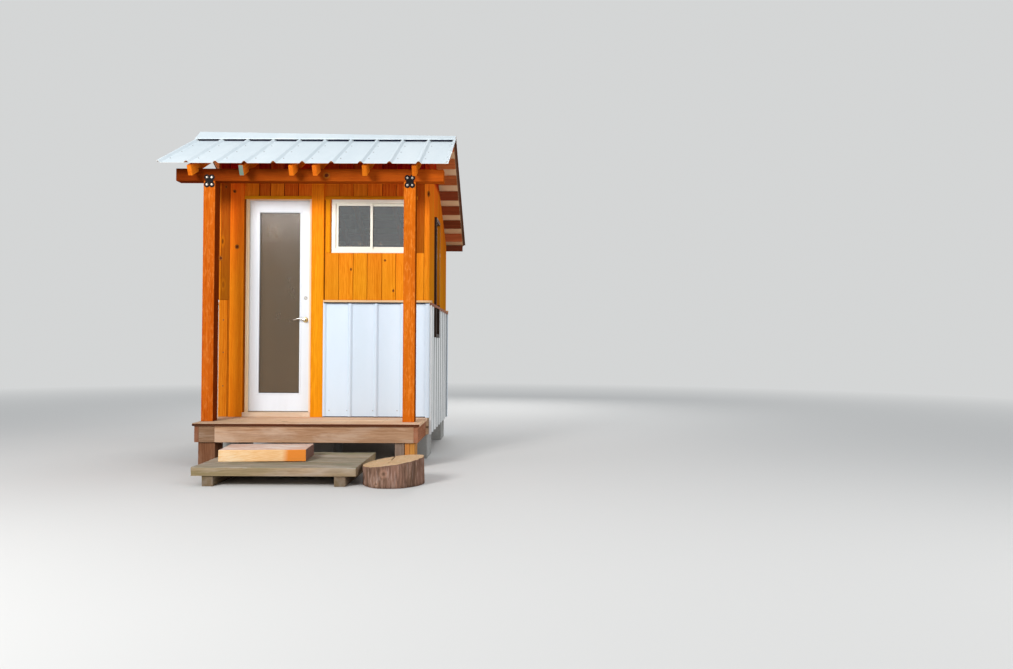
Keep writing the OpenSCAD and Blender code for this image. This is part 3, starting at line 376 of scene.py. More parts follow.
paintLooks = {
    "roofMetal": {"base": (0.76, 0.83, 0.86), "soiled": (0.66, 0.74, 0.78), "speck": (0.25, 0.22, 0.18),
        "rough": (0.42, 0.56), "specks": 0.14, "gloss": 0.3, "streak": (3.0, 0.8, 0.8), "wave": 0.8, "depth": 0.003,
        "speckScale": 40.0, "grit": 0.02},
    "wainscotMetal": {"base": (0.7, 0.81, 0.92), "soiled": (0.65, 0.76, 0.86), "speck": (0.42, 0.38, 0.33),
        "rough": (0.36, 0.48), "specks": 0.06, "gloss": 0.35, "streak": (2.2, 2.2, 0.7), "wave": 0.8,
        "depth": 0.002, "grit": 0.02},
    # the side wainscots' metal, paler than the front wainscot on the rib flanks as painted light
    "sideCoat": {"base": (0.9, 0.9, 0.89), "soiled": (0.76, 0.78, 0.78), "speck": (0.42, 0.38, 0.33),
        "rough": (0.4, 0.55), "specks": 0.1, "gloss": 0.3, "streak": (2.2, 2.2, 0.7), "wave": 0.8, "depth": 0.002,
        "grit": 0.03},
    # the side wainscots' flats and the strips beside their ribs, painted darker as shade
    "sideFlatsShade": {"base": (0.69, 0.7, 0.69), "soiled": (0.56, 0.57, 0.57), "speck": (0.42, 0.38, 0.33),
        "rough": (0.45, 0.6), "specks": 0.1, "gloss": 0.2, "streak": (2.2, 2.2, 0.7), "wave": 0.8, "depth": 0.002,
        "grit": 0.03},
    "ribPaintedShade": {"base": (0.36, 0.37, 0.37), "soiled": (0.26, 0.26, 0.25), "speck": (0.2, 0.18, 0.15),
        "rough": (0.55, 0.7), "gloss": 0.15, "streak": (2.2, 2.2, 0.7)},
    "knotBrown": {"base": (0.09, 0.016, 0.004), "soiled": (0.15, 0.03, 0.006), "speck": (0.03, 0.01, 0.004),
        "rough": (0.6, 0.8), "gloss": 0.1, "streak": (60, 60, 60)},
    "knotHalo": {"base": (0.3, 0.085, 0.009), "soiled": (0.4, 0.12, 0.01), "speck": (0.12, 0.03, 0.006),
        "rough": (0.6, 0.8), "gloss": 0.05, "streak": (50, 50, 50)},
    # the sheets' undersides are tinted warm tan as painted bounce light
    "sheetUnderside": {"base": (0.8, 0.57, 0.34), "soiled": (0.64, 0.41, 0.22), "speck": (0.2, 0.14, 0.09),
        "rough": (0.75, 0.9), "gloss": 0.06},
    # the rear roof's fold and edge, painted dark brown as shade
    "rearEdgeShade": {"base": (0.22, 0.105, 0.06), "soiled": (0.16, 0.075, 0.04), "speck": (0.08, 0.05, 0.04),
        "rough": (0.75, 0.9), "gloss": 0.06},
    "closureFoam": {"base": (0.01, 0.012, 0.026), "soiled": (0.02, 0.02, 0.034), "speck": (0.05, 0.05, 0.06),
        "rough": (0.9, 1.0), "gloss": 0.1, "grain": 0.6, "relief": 0.6},
    "blackSteel": {"base": (0.01, 0.009, 0.011), "soiled": (0.02, 0.018, 0.018), "speck": (0.05, 0.04, 0.035),
        "rough": (0.7, 0.85), "specks": 0.3, "gloss": 0.05, "fineScale": 900.0},
    "zincBolt": {"base": (0.52, 0.46, 0.4), "soiled": (0.38, 0.33, 0.28), "speck": (0.25, 0.2, 0.15),
        "rough": (0.4, 0.55), "metallic": 0.6, "gloss": 0.4, "streak": (60, 60, 60), "fineScale": 1500.0},
    "roofScrew": {"base": (0.5, 0.53, 0.54), "soiled": (0.34, 0.35, 0.35), "speck": (0.12, 0.11, 0.1),
        "rough": (0.5, 0.65), "metallic": 0.1, "gloss": 0.3, "streak": (60, 60, 60), "fineScale": 1500.0},
    "whitePaint": {"base": (0.82, 0.87, 0.93), "soiled": (0.77, 0.81, 0.86), "speck": (0.5, 0.45, 0.4),
        "rough": (0.3, 0.42), "specks": 0.06, "coat": 0.15, "streak": (6, 6, 0.6), "grit": 0.02,
        "fineScale": 600.0},
    "whiteVinyl": {"base": (0.95, 0.92, 0.8), "soiled": (0.9, 0.85, 0.71), "speck": (0.45, 0.38, 0.3),
        "rough": (0.25, 0.35), "specks": 0.06, "grit": 0.02, "fineScale": 500.0},
    "brightSteel": {"base": (0.6, 0.58, 0.54), "soiled": (0.48, 0.45, 0.4), "speck": (0.3, 0.26, 0.2),
        "rough": (0.18, 0.34), "metallic": 1.0, "streak": (40, 40, 8), "fineScale": 1500.0, "specks": 0.1},
    "agedBrass": {"base": (0.74, 0.52, 0.22), "soiled": (0.5, 0.34, 0.14), "speck": (0.2, 0.13, 0.06),
        "rough": (0.22, 0.4), "metallic": 1.0, "streak": (30, 30, 30), "fineScale": 1500.0},
    "darkScrew": {"base": (0.09, 0.05, 0.035), "soiled": (0.05, 0.03, 0.02), "speck": (0.15, 0.1, 0.07),
        "rough": (0.4, 0.6), "metallic": 0.6},
    "concrete": {"base": (0.5, 0.49, 0.47), "soiled": (0.36, 0.35, 0.32), "speck": (0.22, 0.21, 0.19),
        "rough": (0.85, 0.95), "gloss": 0.2, "specks": 0.5, "grit": 0.5, "streak": (5, 5, 5), "fineScale": 260.0,
        "speckScale": 60.0, "grain": 1.0, "relief": 0.8, "depth": 0.003},
    "endPaint": {"base": (0.17, 0.24, 0.18), "soiled": (0.11, 0.17, 0.13), "speck": (0.3, 0.3, 0.24),
        "rough": (0.6, 0.8)},
    "gasket": {"base": (0.03, 0.03, 0.032), "soiled": (0.05, 0.05, 0.05), "speck": (0.12, 0.11, 0.1),
        "rough": (0.6, 0.8)},
}
paints = {name: paintFinish(name, look) for name, look in paintLooks.items()}


def glassFinish(name, look):
    finish, tree, shader = newFinish(name)
    place = addNode(tree, "TexCoord").outputs["Object"]
    dust = cloud(tree, place, (5, 5, 2), 5.0, 0.6)
    tint = blendColours(tree, spread(tree, dust, 0.35, 0.7), look["tint"], look["dusty"])
    tree.links.new(tint, shader.inputs["Base Color"])
    tree.links.new(spread(tree, dust, 0.4, 0.7, look["rough"][0], look["rough"][1]), shader.inputs["Roughness"])
    shader.inputs["Transmission Weight"].default_value = look["clear"]
    shader.inputs["IOR"].default_value = 1.5
    shader.inputs["Specular IOR Level"].default_value = look.get("gloss", 0.5)
    shader.inputs["Coat Weight"].default_value = look["coat"]
    shader.inputs["Coat IOR"].default_value = 2.0
    shader.inputs["Coat Roughness"].default_value = 0.02
    return finish


glassLooks = {
    "clearGlass": {"tint": (0.66, 0.72, 0.72), "dusty": (0.58, 0.64, 0.64), "rough": (0.0, 0.04), "clear": 1.0,
        "coat": 1.0},
    "sideGlass": {"tint": (0.2, 0.15, 0.11), "dusty": (0.16, 0.12, 0.09), "rough": (0.05, 0.12), "clear": 0.8,
        "coat": 0.1, "gloss": 0.2},
    "obscureGlass": {"tint": (0.23, 0.155, 0.085), "dusty": (0.18, 0.125, 0.07), "rough": (0.16, 0.28),
        "clear": 0.5, "coat": 0.12, "gloss": 0.25},
}
glasses = {name: glassFinish(name, look) for name, look in glassLooks.items()}
print("finishes mixed")


# Mesh helpers

weld, cutReach = 0.00002, 0.00001  # metres


def looseCopy(nodeName):
    bm = bmesh.new()
    bm.from_mesh(nodes[nodeName].data)
    bmesh.ops.remove_doubles(bm, verts=bm.verts, dist=weld)
    bmesh.ops.dissolve_limit(bm, angle_limit=0.01, verts=bm.verts, edges=bm.edges)
    return bm


def cutAt(bm, place, normal, clear=False):
    # a loop where a plane meets the mesh, and nothing left outside the plane when it is cleared
    parts = bm.verts[:] + bm.edges[:] + bm.faces[:]
    return bmesh.ops.bisect_plane(bm, geom=parts, dist=cutReach, plane_co=place, plane_no=normal, clear_outer=clear)


def boxAt(bm, low, high):
    # a box between two corners given in the floor's millimetres
    a, b = spot(*low), spot(*high)
    at = Matrix.Translation((a + b) / 2) @ Matrix.Diagonal((*(b - a), 1))
    bmesh.ops.create_cube(bm, size=1.0, matrix=at)


def pour(target, part):
    carrier = bpy.data.meshes.new("carrier")
    part.to_mesh(carrier)
    target.from_mesh(carrier)
    bpy.data.meshes.remove(carrier)
    part.free()


def islandsOf(bm):
    # the vertices of each separate part
    waiting = set(bm.verts)
    for first in list(bm.verts):
        if first not in waiting:
            continue
        waiting.discard(first)
        island, edge = [first], [first]
        while edge:
            nearby = [v for e in edge.pop().link_edges for v in e.verts if v in waiting]
            for v in nearby:
                waiting.discard(v)
            island += nearby
            edge += nearby
        yield island


def giveGrain(bm, along=None, tilt=0.0, shadeOf=None):
    # writes each board's own directions and shade, along 0, 1 or 2 where its longest side isn't the grain
    grain = bm.verts.layers.float_vector.new("grain")
    board = bm.verts.layers.float_vector.new("board")
    turn = Matrix.Rotation(-tilt, 3, "X")
    for island in islandsOf(bm):
        places = [turn @ v.co for v in island]
        low = [min(p[i] for p in places) for i in range(3)]
        high = [max(p[i] for p in places) for i in range(3)]
        order = sorted(range(3), key=lambda i: low[i] - high[i])
        if along is not None:
            order = [along] + [i for i in order if i != along]
        middle = [(low[i] + high[i]) / 2 for i in range(3)]
        shift = Vector((chance.uniform(0, 40), chance.uniform(-0.09, 0.09), chance.uniform(0.03, 0.12)))
        shade = [chance.uniform(-1, 1), chance.uniform(-1, 1), chance.random()]
        if shadeOf:
            shade = shadeOf(Vector(middle) - corner, shade)
        for v, p in zip(island, places):
            v[grain] = Vector((p[order[0]], p[order[1]] - middle[order[1]], p[order[2]] - middle[order[2]])) + shift
            v[board] = Vector(shade)


def softenEdges(bm, width, segments=2, sharp=30, chosen=None):
    edges = [e for e in bm.edges if len(e.link_faces) == 2 and e.calc_face_angle() > math.radians(sharp)]
    if chosen:
        edges = [e for e in edges if chosen(e)]
    bmesh.ops.bevel(bm, geom=edges, offset=width, offset_type="OFFSET", segments=segments, profile=0.5,
                    affect="EDGES", clamp_overlap=True, material=-1)


def keepBetween(bm, axis, low, high):
    # cuts the mesh off below and above two heights along an axis, and closes it
    for value, side in ((low, -1), (high, 1)):
        reach = [v.co[axis] for v in bm.verts]
        if value is None or not reach or not min(reach) + weld < value < max(reach) - weld:
            continue
        normal, place = Vector((0, 0, 0)), Vector((0, 0, 0))
        normal[axis], place[axis] = side, value
        rim = [e for e in cutAt(bm, place, normal, True)["geom_cut"] if isinstance(e, bmesh.types.BMEdge)]
        bmesh.ops.triangle_fill(bm, use_beauty=True, use_dissolve=False, edges=rim)
    return bm


def addLoops(bm, axis, step):
    # even loops across an axis, about a step apart
    reach = [v.co[axis] for v in bm.verts]
    low, high = min(reach), max(reach)
    count = max(1, round((high - low) / step))
    normal = Vector([1 if i == axis else 0 for i in range(3)])
    for i in range(1, count):
        cutAt(bm, normal * (low + (high - low) * i / count), normal)


def finished(bm, name, finish, body="building", standsFor=(), smooth=None):
    bmesh.ops.recalc_face_normals(bm, faces=bm.faces)
    mesh = bpy.data.meshes.new(name)
    bm.to_mesh(mesh)
    bm.free()
    if "custom_normal" in mesh.attributes:
        mesh.attributes.remove(mesh.attributes["custom_normal"])
    for one in finish if isinstance(finish, list) else [finish]:
        mesh.materials.append(one)
    if smooth:
        mesh.shade_smooth()
        mesh.set_sharp_from_angle(angle=math.radians(smooth))
    else:
        mesh.shade_flat()
    piece = bpy.data.objects.new(name, mesh)
    bpy.context.scene.collection.objects.link(piece)
    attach(piece, body)
    if standsFor:
        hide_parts(*standsFor)
    return piece


def dressed(nodeName, name, finish, width=0.0015, along=None, tilt=0.0, body="building", segments=2,
            change=None, after=None, shadeOf=None):
    # the node's own shape with eased edges and a grain
    bm = looseCopy(nodeName)
    if change:
        change(bm)
    softenEdges(bm, width, segments)
    giveGrain(bm, along, tilt, shadeOf)
    if after:
        after(bm)
    return finished(bm, name, finish, body, [nodeName])


def secondFinish(bm, chosen):
    # faces that take the second finish of the list
    bmesh.ops.recalc_face_normals(bm, faces=bm.faces)
    for face in bm.faces:
        if chosen(face, face.calc_center_median() - corner):
            face.material_index = 1


def pressedIn(bm, amount, scale, step):
    # weathers the boards by moving their surface inwards, never out, and leaves their undersides
    for axis in (0, 1):
        addLoops(bm, axis, step)
    bmesh.ops.recalc_face_normals(bm, faces=bm.faces)
    bm.normal_update()
    moves = []
    for v in bm.verts:
        if v.normal.z < -0.3:
            continue
        x, y, z = (v.co[i] * scale[i] for i in range(3))
        wave = noise.noise(Vector((x, y, z))) + 0.5 * noise.noise(Vector((x * 2.7, y * 2.7, z * 2.7 + 9)))
        moves.append((v, v.normal * amount * clamped(0.5 + wave * 0.8)))
    for v, move in moves:
        v.co -= move


def spun(bm, profile, place, facing, steps=28):
    # turns a profile of (radius, height) pairs round its axis
    turn = Matrix.Translation(place) @ Vector(facing).to_track_quat("Z", "Y").to_matrix().to_4x4()
    points = [bm.verts.new(turn @ Vector((r, 0, h))) for r, h in profile]
    edges = [bm.edges.new(pair) for pair in zip(points, points[1:])]
    axis = (turn.to_3x3() @ Vector((0, 0, 1))).normalized()
    bmesh.ops.spin(bm, geom=points + edges, cent=place, axis=axis, angle=math.tau, steps=steps, use_merge=True)
    bmesh.ops.remove_doubles(bm, verts=bm.verts, dist=0.000005)


def swept(bm, path, sides=12):
    # a rounded bar through stations of (place, width, height), closed at its ends
    rings = []
    for i, (place, wide, high) in enumerate(path):
        before, behind = Vector(path[max(i - 1, 0)][0]), Vector(path[min(i + 1, len(path) - 1)][0])
        ahead = (behind - before).normalized()
        side = ahead.cross(Vector((0, 0, 1))).normalized()
        up = side.cross(ahead)
        circle = bmesh.ops.create_circle(bm, segments=sides, radius=1.0)["verts"]
        for v in circle:
            v.co = Vector(place) + side * v.co.x * wide / 2 + up * v.co.y * high / 2
        rings.append(circle)
    for first, second in zip(rings, rings[1:]):
        edges = {e for ring in (first, second) for v in ring for e in v.link_edges if e.other_vert(v) in ring}
        bmesh.ops.bridge_loops(bm, edges=list(edges))
    for ring in (rings[0], rings[-1]):
        bmesh.ops.contextual_create(bm, geom=ring)


def screwHead(bm, place, facing, radius=0.004, height=0.002, washer=0.0, sides=10):
    # a low domed head on a face, with a washer under it where it has one
    turn = Vector(facing).to_track_quat("Z", "Y").to_matrix().to_4x4()
    discs = [(sides + 4, washer, washer * 0.9, 0.0012, 0.0006)] if washer else []
    discs.append((sides, radius, radius * 0.72, height, height / 2 + (0.001 if washer else 0)))
    for count, wide, narrow, depth, up in discs:
        bmesh.ops.create_cone(bm, cap_ends=True, segments=count, radius1=wide, radius2=narrow, depth=depth,
                              matrix=Matrix.Translation(place + Vector(facing) * up) @ turn)


def surfaceOf(nodeName):
    bm = looseCopy(nodeName)
    skin = BVHTree.FromBMesh(bm)
    bm.free()
    return skin


def downOnto(skin, x, y):
    # where a line from above meets a surface, and the way the surface faces there
    return skin.ray_cast(Vector((x, y, cadHigh.z + 0.2)), Vector((0, 0, -1)))[:2]


def screwsOn(bm, skin, starts, direction, radius=0.0045, height=0.004, washer=0.008, sides=8):
    # drives a screw where each line from a start meets the surface
    for start in starts:
        place, normal = skin.ray_cast(start, Vector(direction))[:2]
        if place:
            facing = normal if normal.dot(Vector(direction)) < 0 else -normal
            screwHead(bm, place, facing, radius, height, washer, sides)


# Boarded walls

siding = {"depth": 0.009, "gap": 0.004, "cover": 134, "edge": 0.0015}
eavesLightAndShade = {"from": 1250, "to": 2350, "steps": 4, "hue": -2.3, "tone": 2.6, "eaves": (2270, 2330),
               "eavesHue": -2.0, "eavesTone": -8.0, "darkest": -8.0}
shadowed = {"x": (1796, 1926), "z": (1543, 1549), "tone": -7.5, "hue": -0.8}  # a painted shadow behind the right post, right of the front window


def redderUp(bm):
    # painted light and shade: the boards turn redder (painted shade) and paler (painted light) towards the eaves,
    # darker just under the eaves (painted shade), and darker behind the right post (painted shadow)
    board = bm.verts.layers.float_vector["board"]
    span = eavesLightAndShade["to"] - eavesLightAndShade["from"]
    heights = [eavesLightAndShade["from"] + span * i / eavesLightAndShade["steps"] for i in range(eavesLightAndShade["steps"] + 1)]
    for height in heights + list(eavesLightAndShade["eaves"]) + list(shadowed["z"]):
        cutAt(bm, spot(0, 0, height), (0, 0, 1))
    eavesLow, eavesHigh = eavesLightAndShade["eaves"]
    for v in bm.verts:
        place = (v.co - corner) * 1000
        rise = clamped((place.z - eavesLightAndShade["from"]) / span)
        eaves = clamped((place.z - eavesLow) / (eavesHigh - eavesLow))
        v[board] += Vector((eavesLightAndShade["tone"] * rise + eavesLightAndShade["eavesTone"] * eaves,
                            eavesLightAndShade["hue"] * rise + eavesLightAndShade["eavesHue"] * eaves, 0))
        if shadowed["x"][0] < place.x < shadowed["x"][1] and place.y < 20 and place.z > shadowed["z"][1] - 1:
            v[board] += Vector((shadowed["tone"], shadowed["hue"], 0))
        v[board] = Vector((max(eavesLightAndShade["darkest"], v[board].x), v[board].y, v[board].z))


def layerBoards(layer, along, zones, out, gap):
    # cuts a thin layer of wall into upright boards, zone by zone up the wall
    for bottom, top, joints in zones:
        zone = layer.copy()
        keepBetween(zone, 2, None if bottom is None else spot(0, 0, bottom).z + gap / 2,
                    None if top is None else spot(0, 0, top).z - gap / 2)
        ends = [None] + [spot(j, j, 0)[along] for j in joints] + [None]
        for a, b in zip(ends, ends[1:]):
            board = keepBetween(zone.copy(), along, None if a is None else a + gap, None if b is None else b - gap)
            bmesh.ops.dissolve_limit(board, angle_limit=0.01, verts=board.verts, edges=board.edges)
            bmesh.ops.recalc_face_normals(board, faces=board.faces)
            softenEdges(board, siding["edge"], 1)
            pour(out, board)
        zone.free()
    layer.free()


def boardedWall(nodeName, name, skins, shadeOf=None, gap=siding["gap"] / 2):
    # skins: the wall's faces with boards, each as axis, side (-1 low, 1 high), the boards' direction and its zones
    rest = looseCopy(nodeName)
    out = bmesh.new()
    for axis, side, along, zones in skins:
        low = min(v.co[axis] for v in rest.verts)
        high = max(v.co[axis] for v in rest.verts)
        cut = low + siding["depth"] if side < 0 else high - siding["depth"]
        layer = rest.copy()
        keepBetween(layer, axis, None if side < 0 else cut, cut if side < 0 else None)
        keepBetween(rest, axis, cut if side < 0 else None, None if side < 0 else cut)
        layerBoards(layer, along, zones, out, gap)
    bmesh.ops.dissolve_limit(rest, angle_limit=0.01, verts=rest.verts, edges=rest.edges)
    rest.normal_update()
    for face in rest.faces:  # dark behind the joints
        face.material_index = any(face.normal[axis] * side > 0.9 for axis, side, along, zones in skins)
    pour(out, rest)
    giveGrain(out, 2, 0.0, shadeOf)
    redderUp(out)
    return finished(out, name, [woods["cedarSiding"], woods["jointAndShadowBrown"]], "building", [nodeName])


def every(start, end):
    return list(range(start, end, siding["cover"]))


darkBoards = {"tones": ((421, -3.7), (671, -2.4), (1596, -2.7), (1728, -1.7)), "half": 45, "above": 1.2, "hue": -1.0}
cornerShade = {"upper": -7.6, "lower": -3.0, "from": 1.1, "hue": -1.0}
rightSide = {"outside": 1.93, "behind": 0.79, "tones": (-0.4, -2.6)}  # in metres, as all places given to a shade


def frontShade(place, shade):
    # the darker boards that stand out over the door and over the window
    for x, tone in darkBoards["tones"]:
        if abs(place.x * 1000 - x) < darkBoards["half"] and place.z > darkBoards["above"]:
            return [tone, darkBoards["hue"], shade[2]]
    return [shade[0], shade[1] * 0.5, shade[2]]


def rightShade(place, shade):
    # the outer boards of the right wall are toned darker as painted shade, most behind the side window
    if place.x > rightSide["outside"] and place.y > 0.03:
        return [shade[0] + rightSide["tones"][place.y > rightSide["behind"]], shade[1] * 0.5, shade[2]]
    return frontShade(place, shade)


def leftShade(place, shade):
    # the front boards at the left corner are toned darker and redder as painted shade, most in their upper part
    if place.y < 0.01:
        return [cornerShade["upper" if place.z > cornerShade["from"] else "lower"], cornerShade["hue"], shade[2]]
    return shade


headJoints = [370, 473, 606, 737]
windowJoints = [1125, 1260, 1392, 1531, 1661, 1795]
sideJoints = every(134, 1890)
boardedWall("left_wall", "leftBoards", [
    (0, -1, 1, [(None, None, sideJoints)]),
    (1, -1, 0, [(None, capHigh.z, [82, 94]), (capHigh.z, None, [94])]),
    (1, 1, 0, [(None, None, [60])]),
    (0, 1, 1, [(None, None, sideJoints)]),
], leftShade)
boardedWall("right_wall", "rightBoards", [
    (0, 1, 1, [(None, None, sideJoints)]),
    (1, -1, 0, [(None, None, [1927])]),
    (1, 1, 0, [(None, None, [1920])]),
    (0, -1, 1, [(None, None, sideJoints)]),
], rightShade)
boardedWall("back_wall", "backBoards", [
    (1, 1, 0, [(None, None, every(200, 1860))]),
    (1, -1, 0, [(None, None, every(160, 1860))]),
])
boardedWall("front_wall_left", "frontBoardsLeft", [(1, -1, 0, [(None, None, [])])])
boardedWall("front_wall_right", "frontBoardsRight", [(1, -1, 0, [(None, None, windowJoints)])], frontShade)
boardedWall("front_wall_head", "frontBoardsHead", [(1, -1, 0, [(None, None, headJoints)])], frontShade, 0.004)
# the left raised board is tinted redder as painted shade
dressed("door_trims", "doorBoards", woods["honeyTrim"], 0.003, 2, after=redderUp,
        shadeOf=lambda place, shade: [1.0, -0.7, 0.5] if place.x < 0.5 else [1.1, 0.8, 0.5])

# strips over the door and the window, and beside the window
strips = {"door": (231, 869, 2050, 2081), "window": (992, 1866, 2050, 2081), "side": (1000, 1040, 1546, 2050),
          "out": 9}
bm = bmesh.new()
for x0, x1, z0, z1 in (strips["door"], strips["window"], strips["side"]):
    boxAt(bm, (x0, -strips["out"], z0), (x1, 0, z1))
softenEdges(bm, 0.002)
giveGrain(bm)
finished(bm, "frontStrips", woods["honeyTrim"])

# painted shadows beside the raised boards, one on the left jamb, and the batten on the left corner above the side cap
paintedShadowStrips = ((92, 103, 0, 2250), (231, 249, 0, 2050), (986.5, 995, capHigh.z, 2045))
batten = {"x": -13, "back": 70, "short": 4}
bm = bmesh.new()
for x0, x1, z0, z1 in paintedShadowStrips:
    boxAt(bm, (x0, -2, z0), (x1, 0, z1))
boxAt(bm, (batten["x"], 0, capHigh.z), (0, batten["back"], boxOf("front_wall_left")[1].z - batten["short"]))
giveGrain(bm, 2)
secondFinish(bm, lambda face, place: face.normal.x < -0.7)
finished(bm, "shadowReveals", [woods["jointAndShadowBrown"], woods["honeyTrim"]])

boardScrews = {"x": 43, "heights": (909, 604, 289), "radius": 0.006}
bm = bmesh.new()
for z in boardScrews["heights"]:
    screwHead(bm, spot(boardScrews["x"], 0, z), (0, -1, 0), boardScrews["radius"], 0.0015, 0, 10)
finished(bm, "boardScrews", paints["darkScrew"])

boardKnots = (  # x, y and z of each, its radius and how much taller than wide
    (170, -19, 1597, 12, 1.1), (55, 0, 2166, 8, 1.2), (143, -19, 2120, 9, 1.0), (11, 0, 1492, 13, 1.1),
    (1968, 0, 2107, 8, 2.2), (1114, boxOf("porch_beam")[0].y, 2172, 19, 0.9), (1640, 0, 1190, 6, 1.6),
    (1560, 0, 1476, 7, 1.0), (1240, 0, 1390, 6, 1.4),
)
knotParts = ((1.0, 0.0012), (1.75, 0.0006))  # how wide and how thick the heart and its halo are
bm = bmesh.new()
for x, y, z, radius, tall in boardKnots:
    for part, (wide, deep) in enumerate(knotParts):
        scale = Matrix.Diagonal((radius * wide / 1000, radius * wide * tall / 1000, deep, 1))
        at = Matrix.Translation(spot(x, y - 0.1, z)) @ Matrix.Rotation(math.pi / 2, 4, "X") @ scale
        rim = bmesh.ops.create_cone(bm, cap_ends=True, segments=14, radius1=1, radius2=0.94, depth=1, matrix=at)
        for face in {face for v in rim["verts"] for face in v.link_faces}:
            face.material_index = part
finished(bm, "boardKnots", [paints["knotBrown"], paints["knotHalo"]])
print("walls boarded")


# Floor, porch and underside

dressed("floor_frame", "floorJoists", woods["framingLumber"], 0.002)
dressed("floor_sheet", "floorSheet", woods["floorPanel"], 0.001)
dressed("foundation_blocks", "footings", paints["concrete"], 0.006)


def splitAt(x, gap):
    # parts a board in two at a place along the front
    def change(bm):
        right = keepBetween(bm.copy(), 0, spot(x + gap / 2, 0, 0).x, None)
        keepBetween(bm, 0, None, spot(x - gap / 2, 0, 0).x)
        pour(bm, right)
    return change


dressed("porch_front_rim", "porchRim", woods["weatheredDeck"], 0.002, 0, change=splitAt(204.5, 1),
        shadeOf=lambda place, shade: [-3.6 if place.x < 0.3 else 0.1, 0, 0.5])
dressed("porch_side_rims", "porchSideRims", woods["brownBlock"], 0.002,
        shadeOf=lambda place, shade: [-1.5 if place.x < 1 else 3.0, -0.5, 0.5])
# the joists under the porch are toned darker as painted shade
dressed("porch_joists", "porchJoists", woods["brownBlock"], 0.002,
        shadeOf=lambda place, shade: [-5, 0, 0.5])


def roundedNose(reach, segments):
    # rounds the top edge at the very front more than the other edges
    def change(bm):
        front, top = min(v.co.y for v in bm.verts), max(v.co.z for v in bm.verts)
        softenEdges(bm, reach, segments, 30,
                    lambda e: all(v.co.y < front + 0.001 and v.co.z > top - 0.001 for v in e.verts))
    return change


deckDarkLeft = {"until": 0.7, "span": 0.8, "tone": -2.6, "hue": 0.6}  # how the deck darkens towards its left end, in metres along the front


def deckLeftAndEdge(bm):
    # the deck's left end is darker, and the lower part of its front edge is painted dark as shade
    addLoops(bm, 0, 0.15)
    board = bm.verts.layers.float_vector["board"]
    for v in bm.verts:
        share = clamped((deckDarkLeft["until"] - (v.co - corner).x) / deckDarkLeft["span"])
        v[board] += Vector((deckDarkLeft["tone"] * share, deckDarkLeft["hue"] * share, 0))
    secondFinish(bm, lambda face, place: face.normal.y < -0.5 and place.y < -0.6 and place.z < -0.004)


dressed("porch_boards", "porchBoards", [woods["deckBoards"], woods["deckEdgeShade"]], 0.003,
        change=roundedNose(0.013, 4), after=deckLeftAndEdge)
dressed("porch_blocks", "porchBlocks", [woods["brownBlock"], woods["greyBlock"]], 0.004, 2,
        shadeOf=lambda place, shade: [-2.4 if place.x < 1 else 0.6, 0, 0.5],
        after=lambda bm: secondFinish(bm, lambda face, place: place.x > 1))

timberLow, timberHigh = boxOf("timber_block")
dressed("timber_block", "timberBlock", woods["freshTimber"], 0.002, 2,
        change=splitAt((timberLow.x + timberHigh.x) / 2, 2))

deckScrews = {"radius": 0.0045, "height": 0.0012, "bays": 6, "inRim": 0.019, "astray": 0.004, "boards": 5,
              "gap": 0.005}
boardLow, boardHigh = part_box("porch_boards")
rimLow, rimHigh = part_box("porch_side_rims")
bm = bmesh.new()
pitchX = (rimHigh.x - rimLow.x - 2 * deckScrews["inRim"]) / deckScrews["bays"]
pitchY = (boardHigh.y - boardLow.y + deckScrews["gap"]) / deckScrews["boards"]
wide = (boardHigh.y - boardLow.y - (deckScrews["boards"] - 1) * deckScrews["gap"]) / deckScrews["boards"]
for i in range(deckScrews["bays"] + 1):
    for j in range(deckScrews["boards"]):
        for share in (0.25, 0.75):
            x = rimLow.x + deckScrews["inRim"] + pitchX * i
            x += chance.uniform(-deckScrews["astray"], deckScrews["astray"])
            place = Vector((x, boardLow.y + pitchY * j + wide * share, boardHigh.z - deckScrews["height"] / 2))
            screwHead(bm, place, (0, 0, 1), deckScrews["radius"], deckScrews["height"])
finished(bm, "deckScrews", paints["darkScrew"])

beamLook = {"tones": (-3.5, 11.0), "start": 0.1, "span": 2.0, "curve": 1.3, "hue": 1.3, "most": 0.7}


def paleRight(bm):
    # the beam is deep red at its left end and orange at its right end
    addLoops(bm, 0, 0.12)
    board = bm.verts.layers.float_vector["board"]
    deep, pale = beamLook["tones"]
    for v in bm.verts:
        share = clamped((v.co - corner).x / beamLook["span"] + beamLook["start"])
        hue = min(beamLook["hue"] * share, beamLook["most"])
        v[board] = Vector((deep + (pale - deep) * share ** beamLook["curve"], hue, 0.5))


postFoot = {"to": 1.7, "tone": -1.5, "hue": -0.2}


def redderDown(bm):
    # the posts are darker and redder towards their feet, and their right faces take the deep red finish as painted
    # shade
    addLoops(bm, 2, 0.25)
    board = bm.verts.layers.float_vector["board"]
    for v in bm.verts:
        low = max(0, 1 - (v.co - corner).z / postFoot["to"])
        v[board] += Vector((postFoot["tone"] * low, postFoot["hue"] * low, 0))
    secondFinish(bm, lambda face, place: face.normal.x > 0.9)


# the left post is toned darker as painted shade
dressed("porch_posts", "porchPosts", [woods["redOrangeStain"], woods["deepRedStainAndShade"]], 0.004, 2,
        after=redderDown, shadeOf=lambda place, shade: [-0.9, 0.3, 0.5] if place.x < 1 else [1.2, 0.7, 0.5])
dressed("porch_beam", "porchBeam", woods["deepRedStainAndShade"], 0.004, 0, after=paleRight)
dressed("post_plates", "postPlates", paints["blackSteel"], 0.0008, 2)

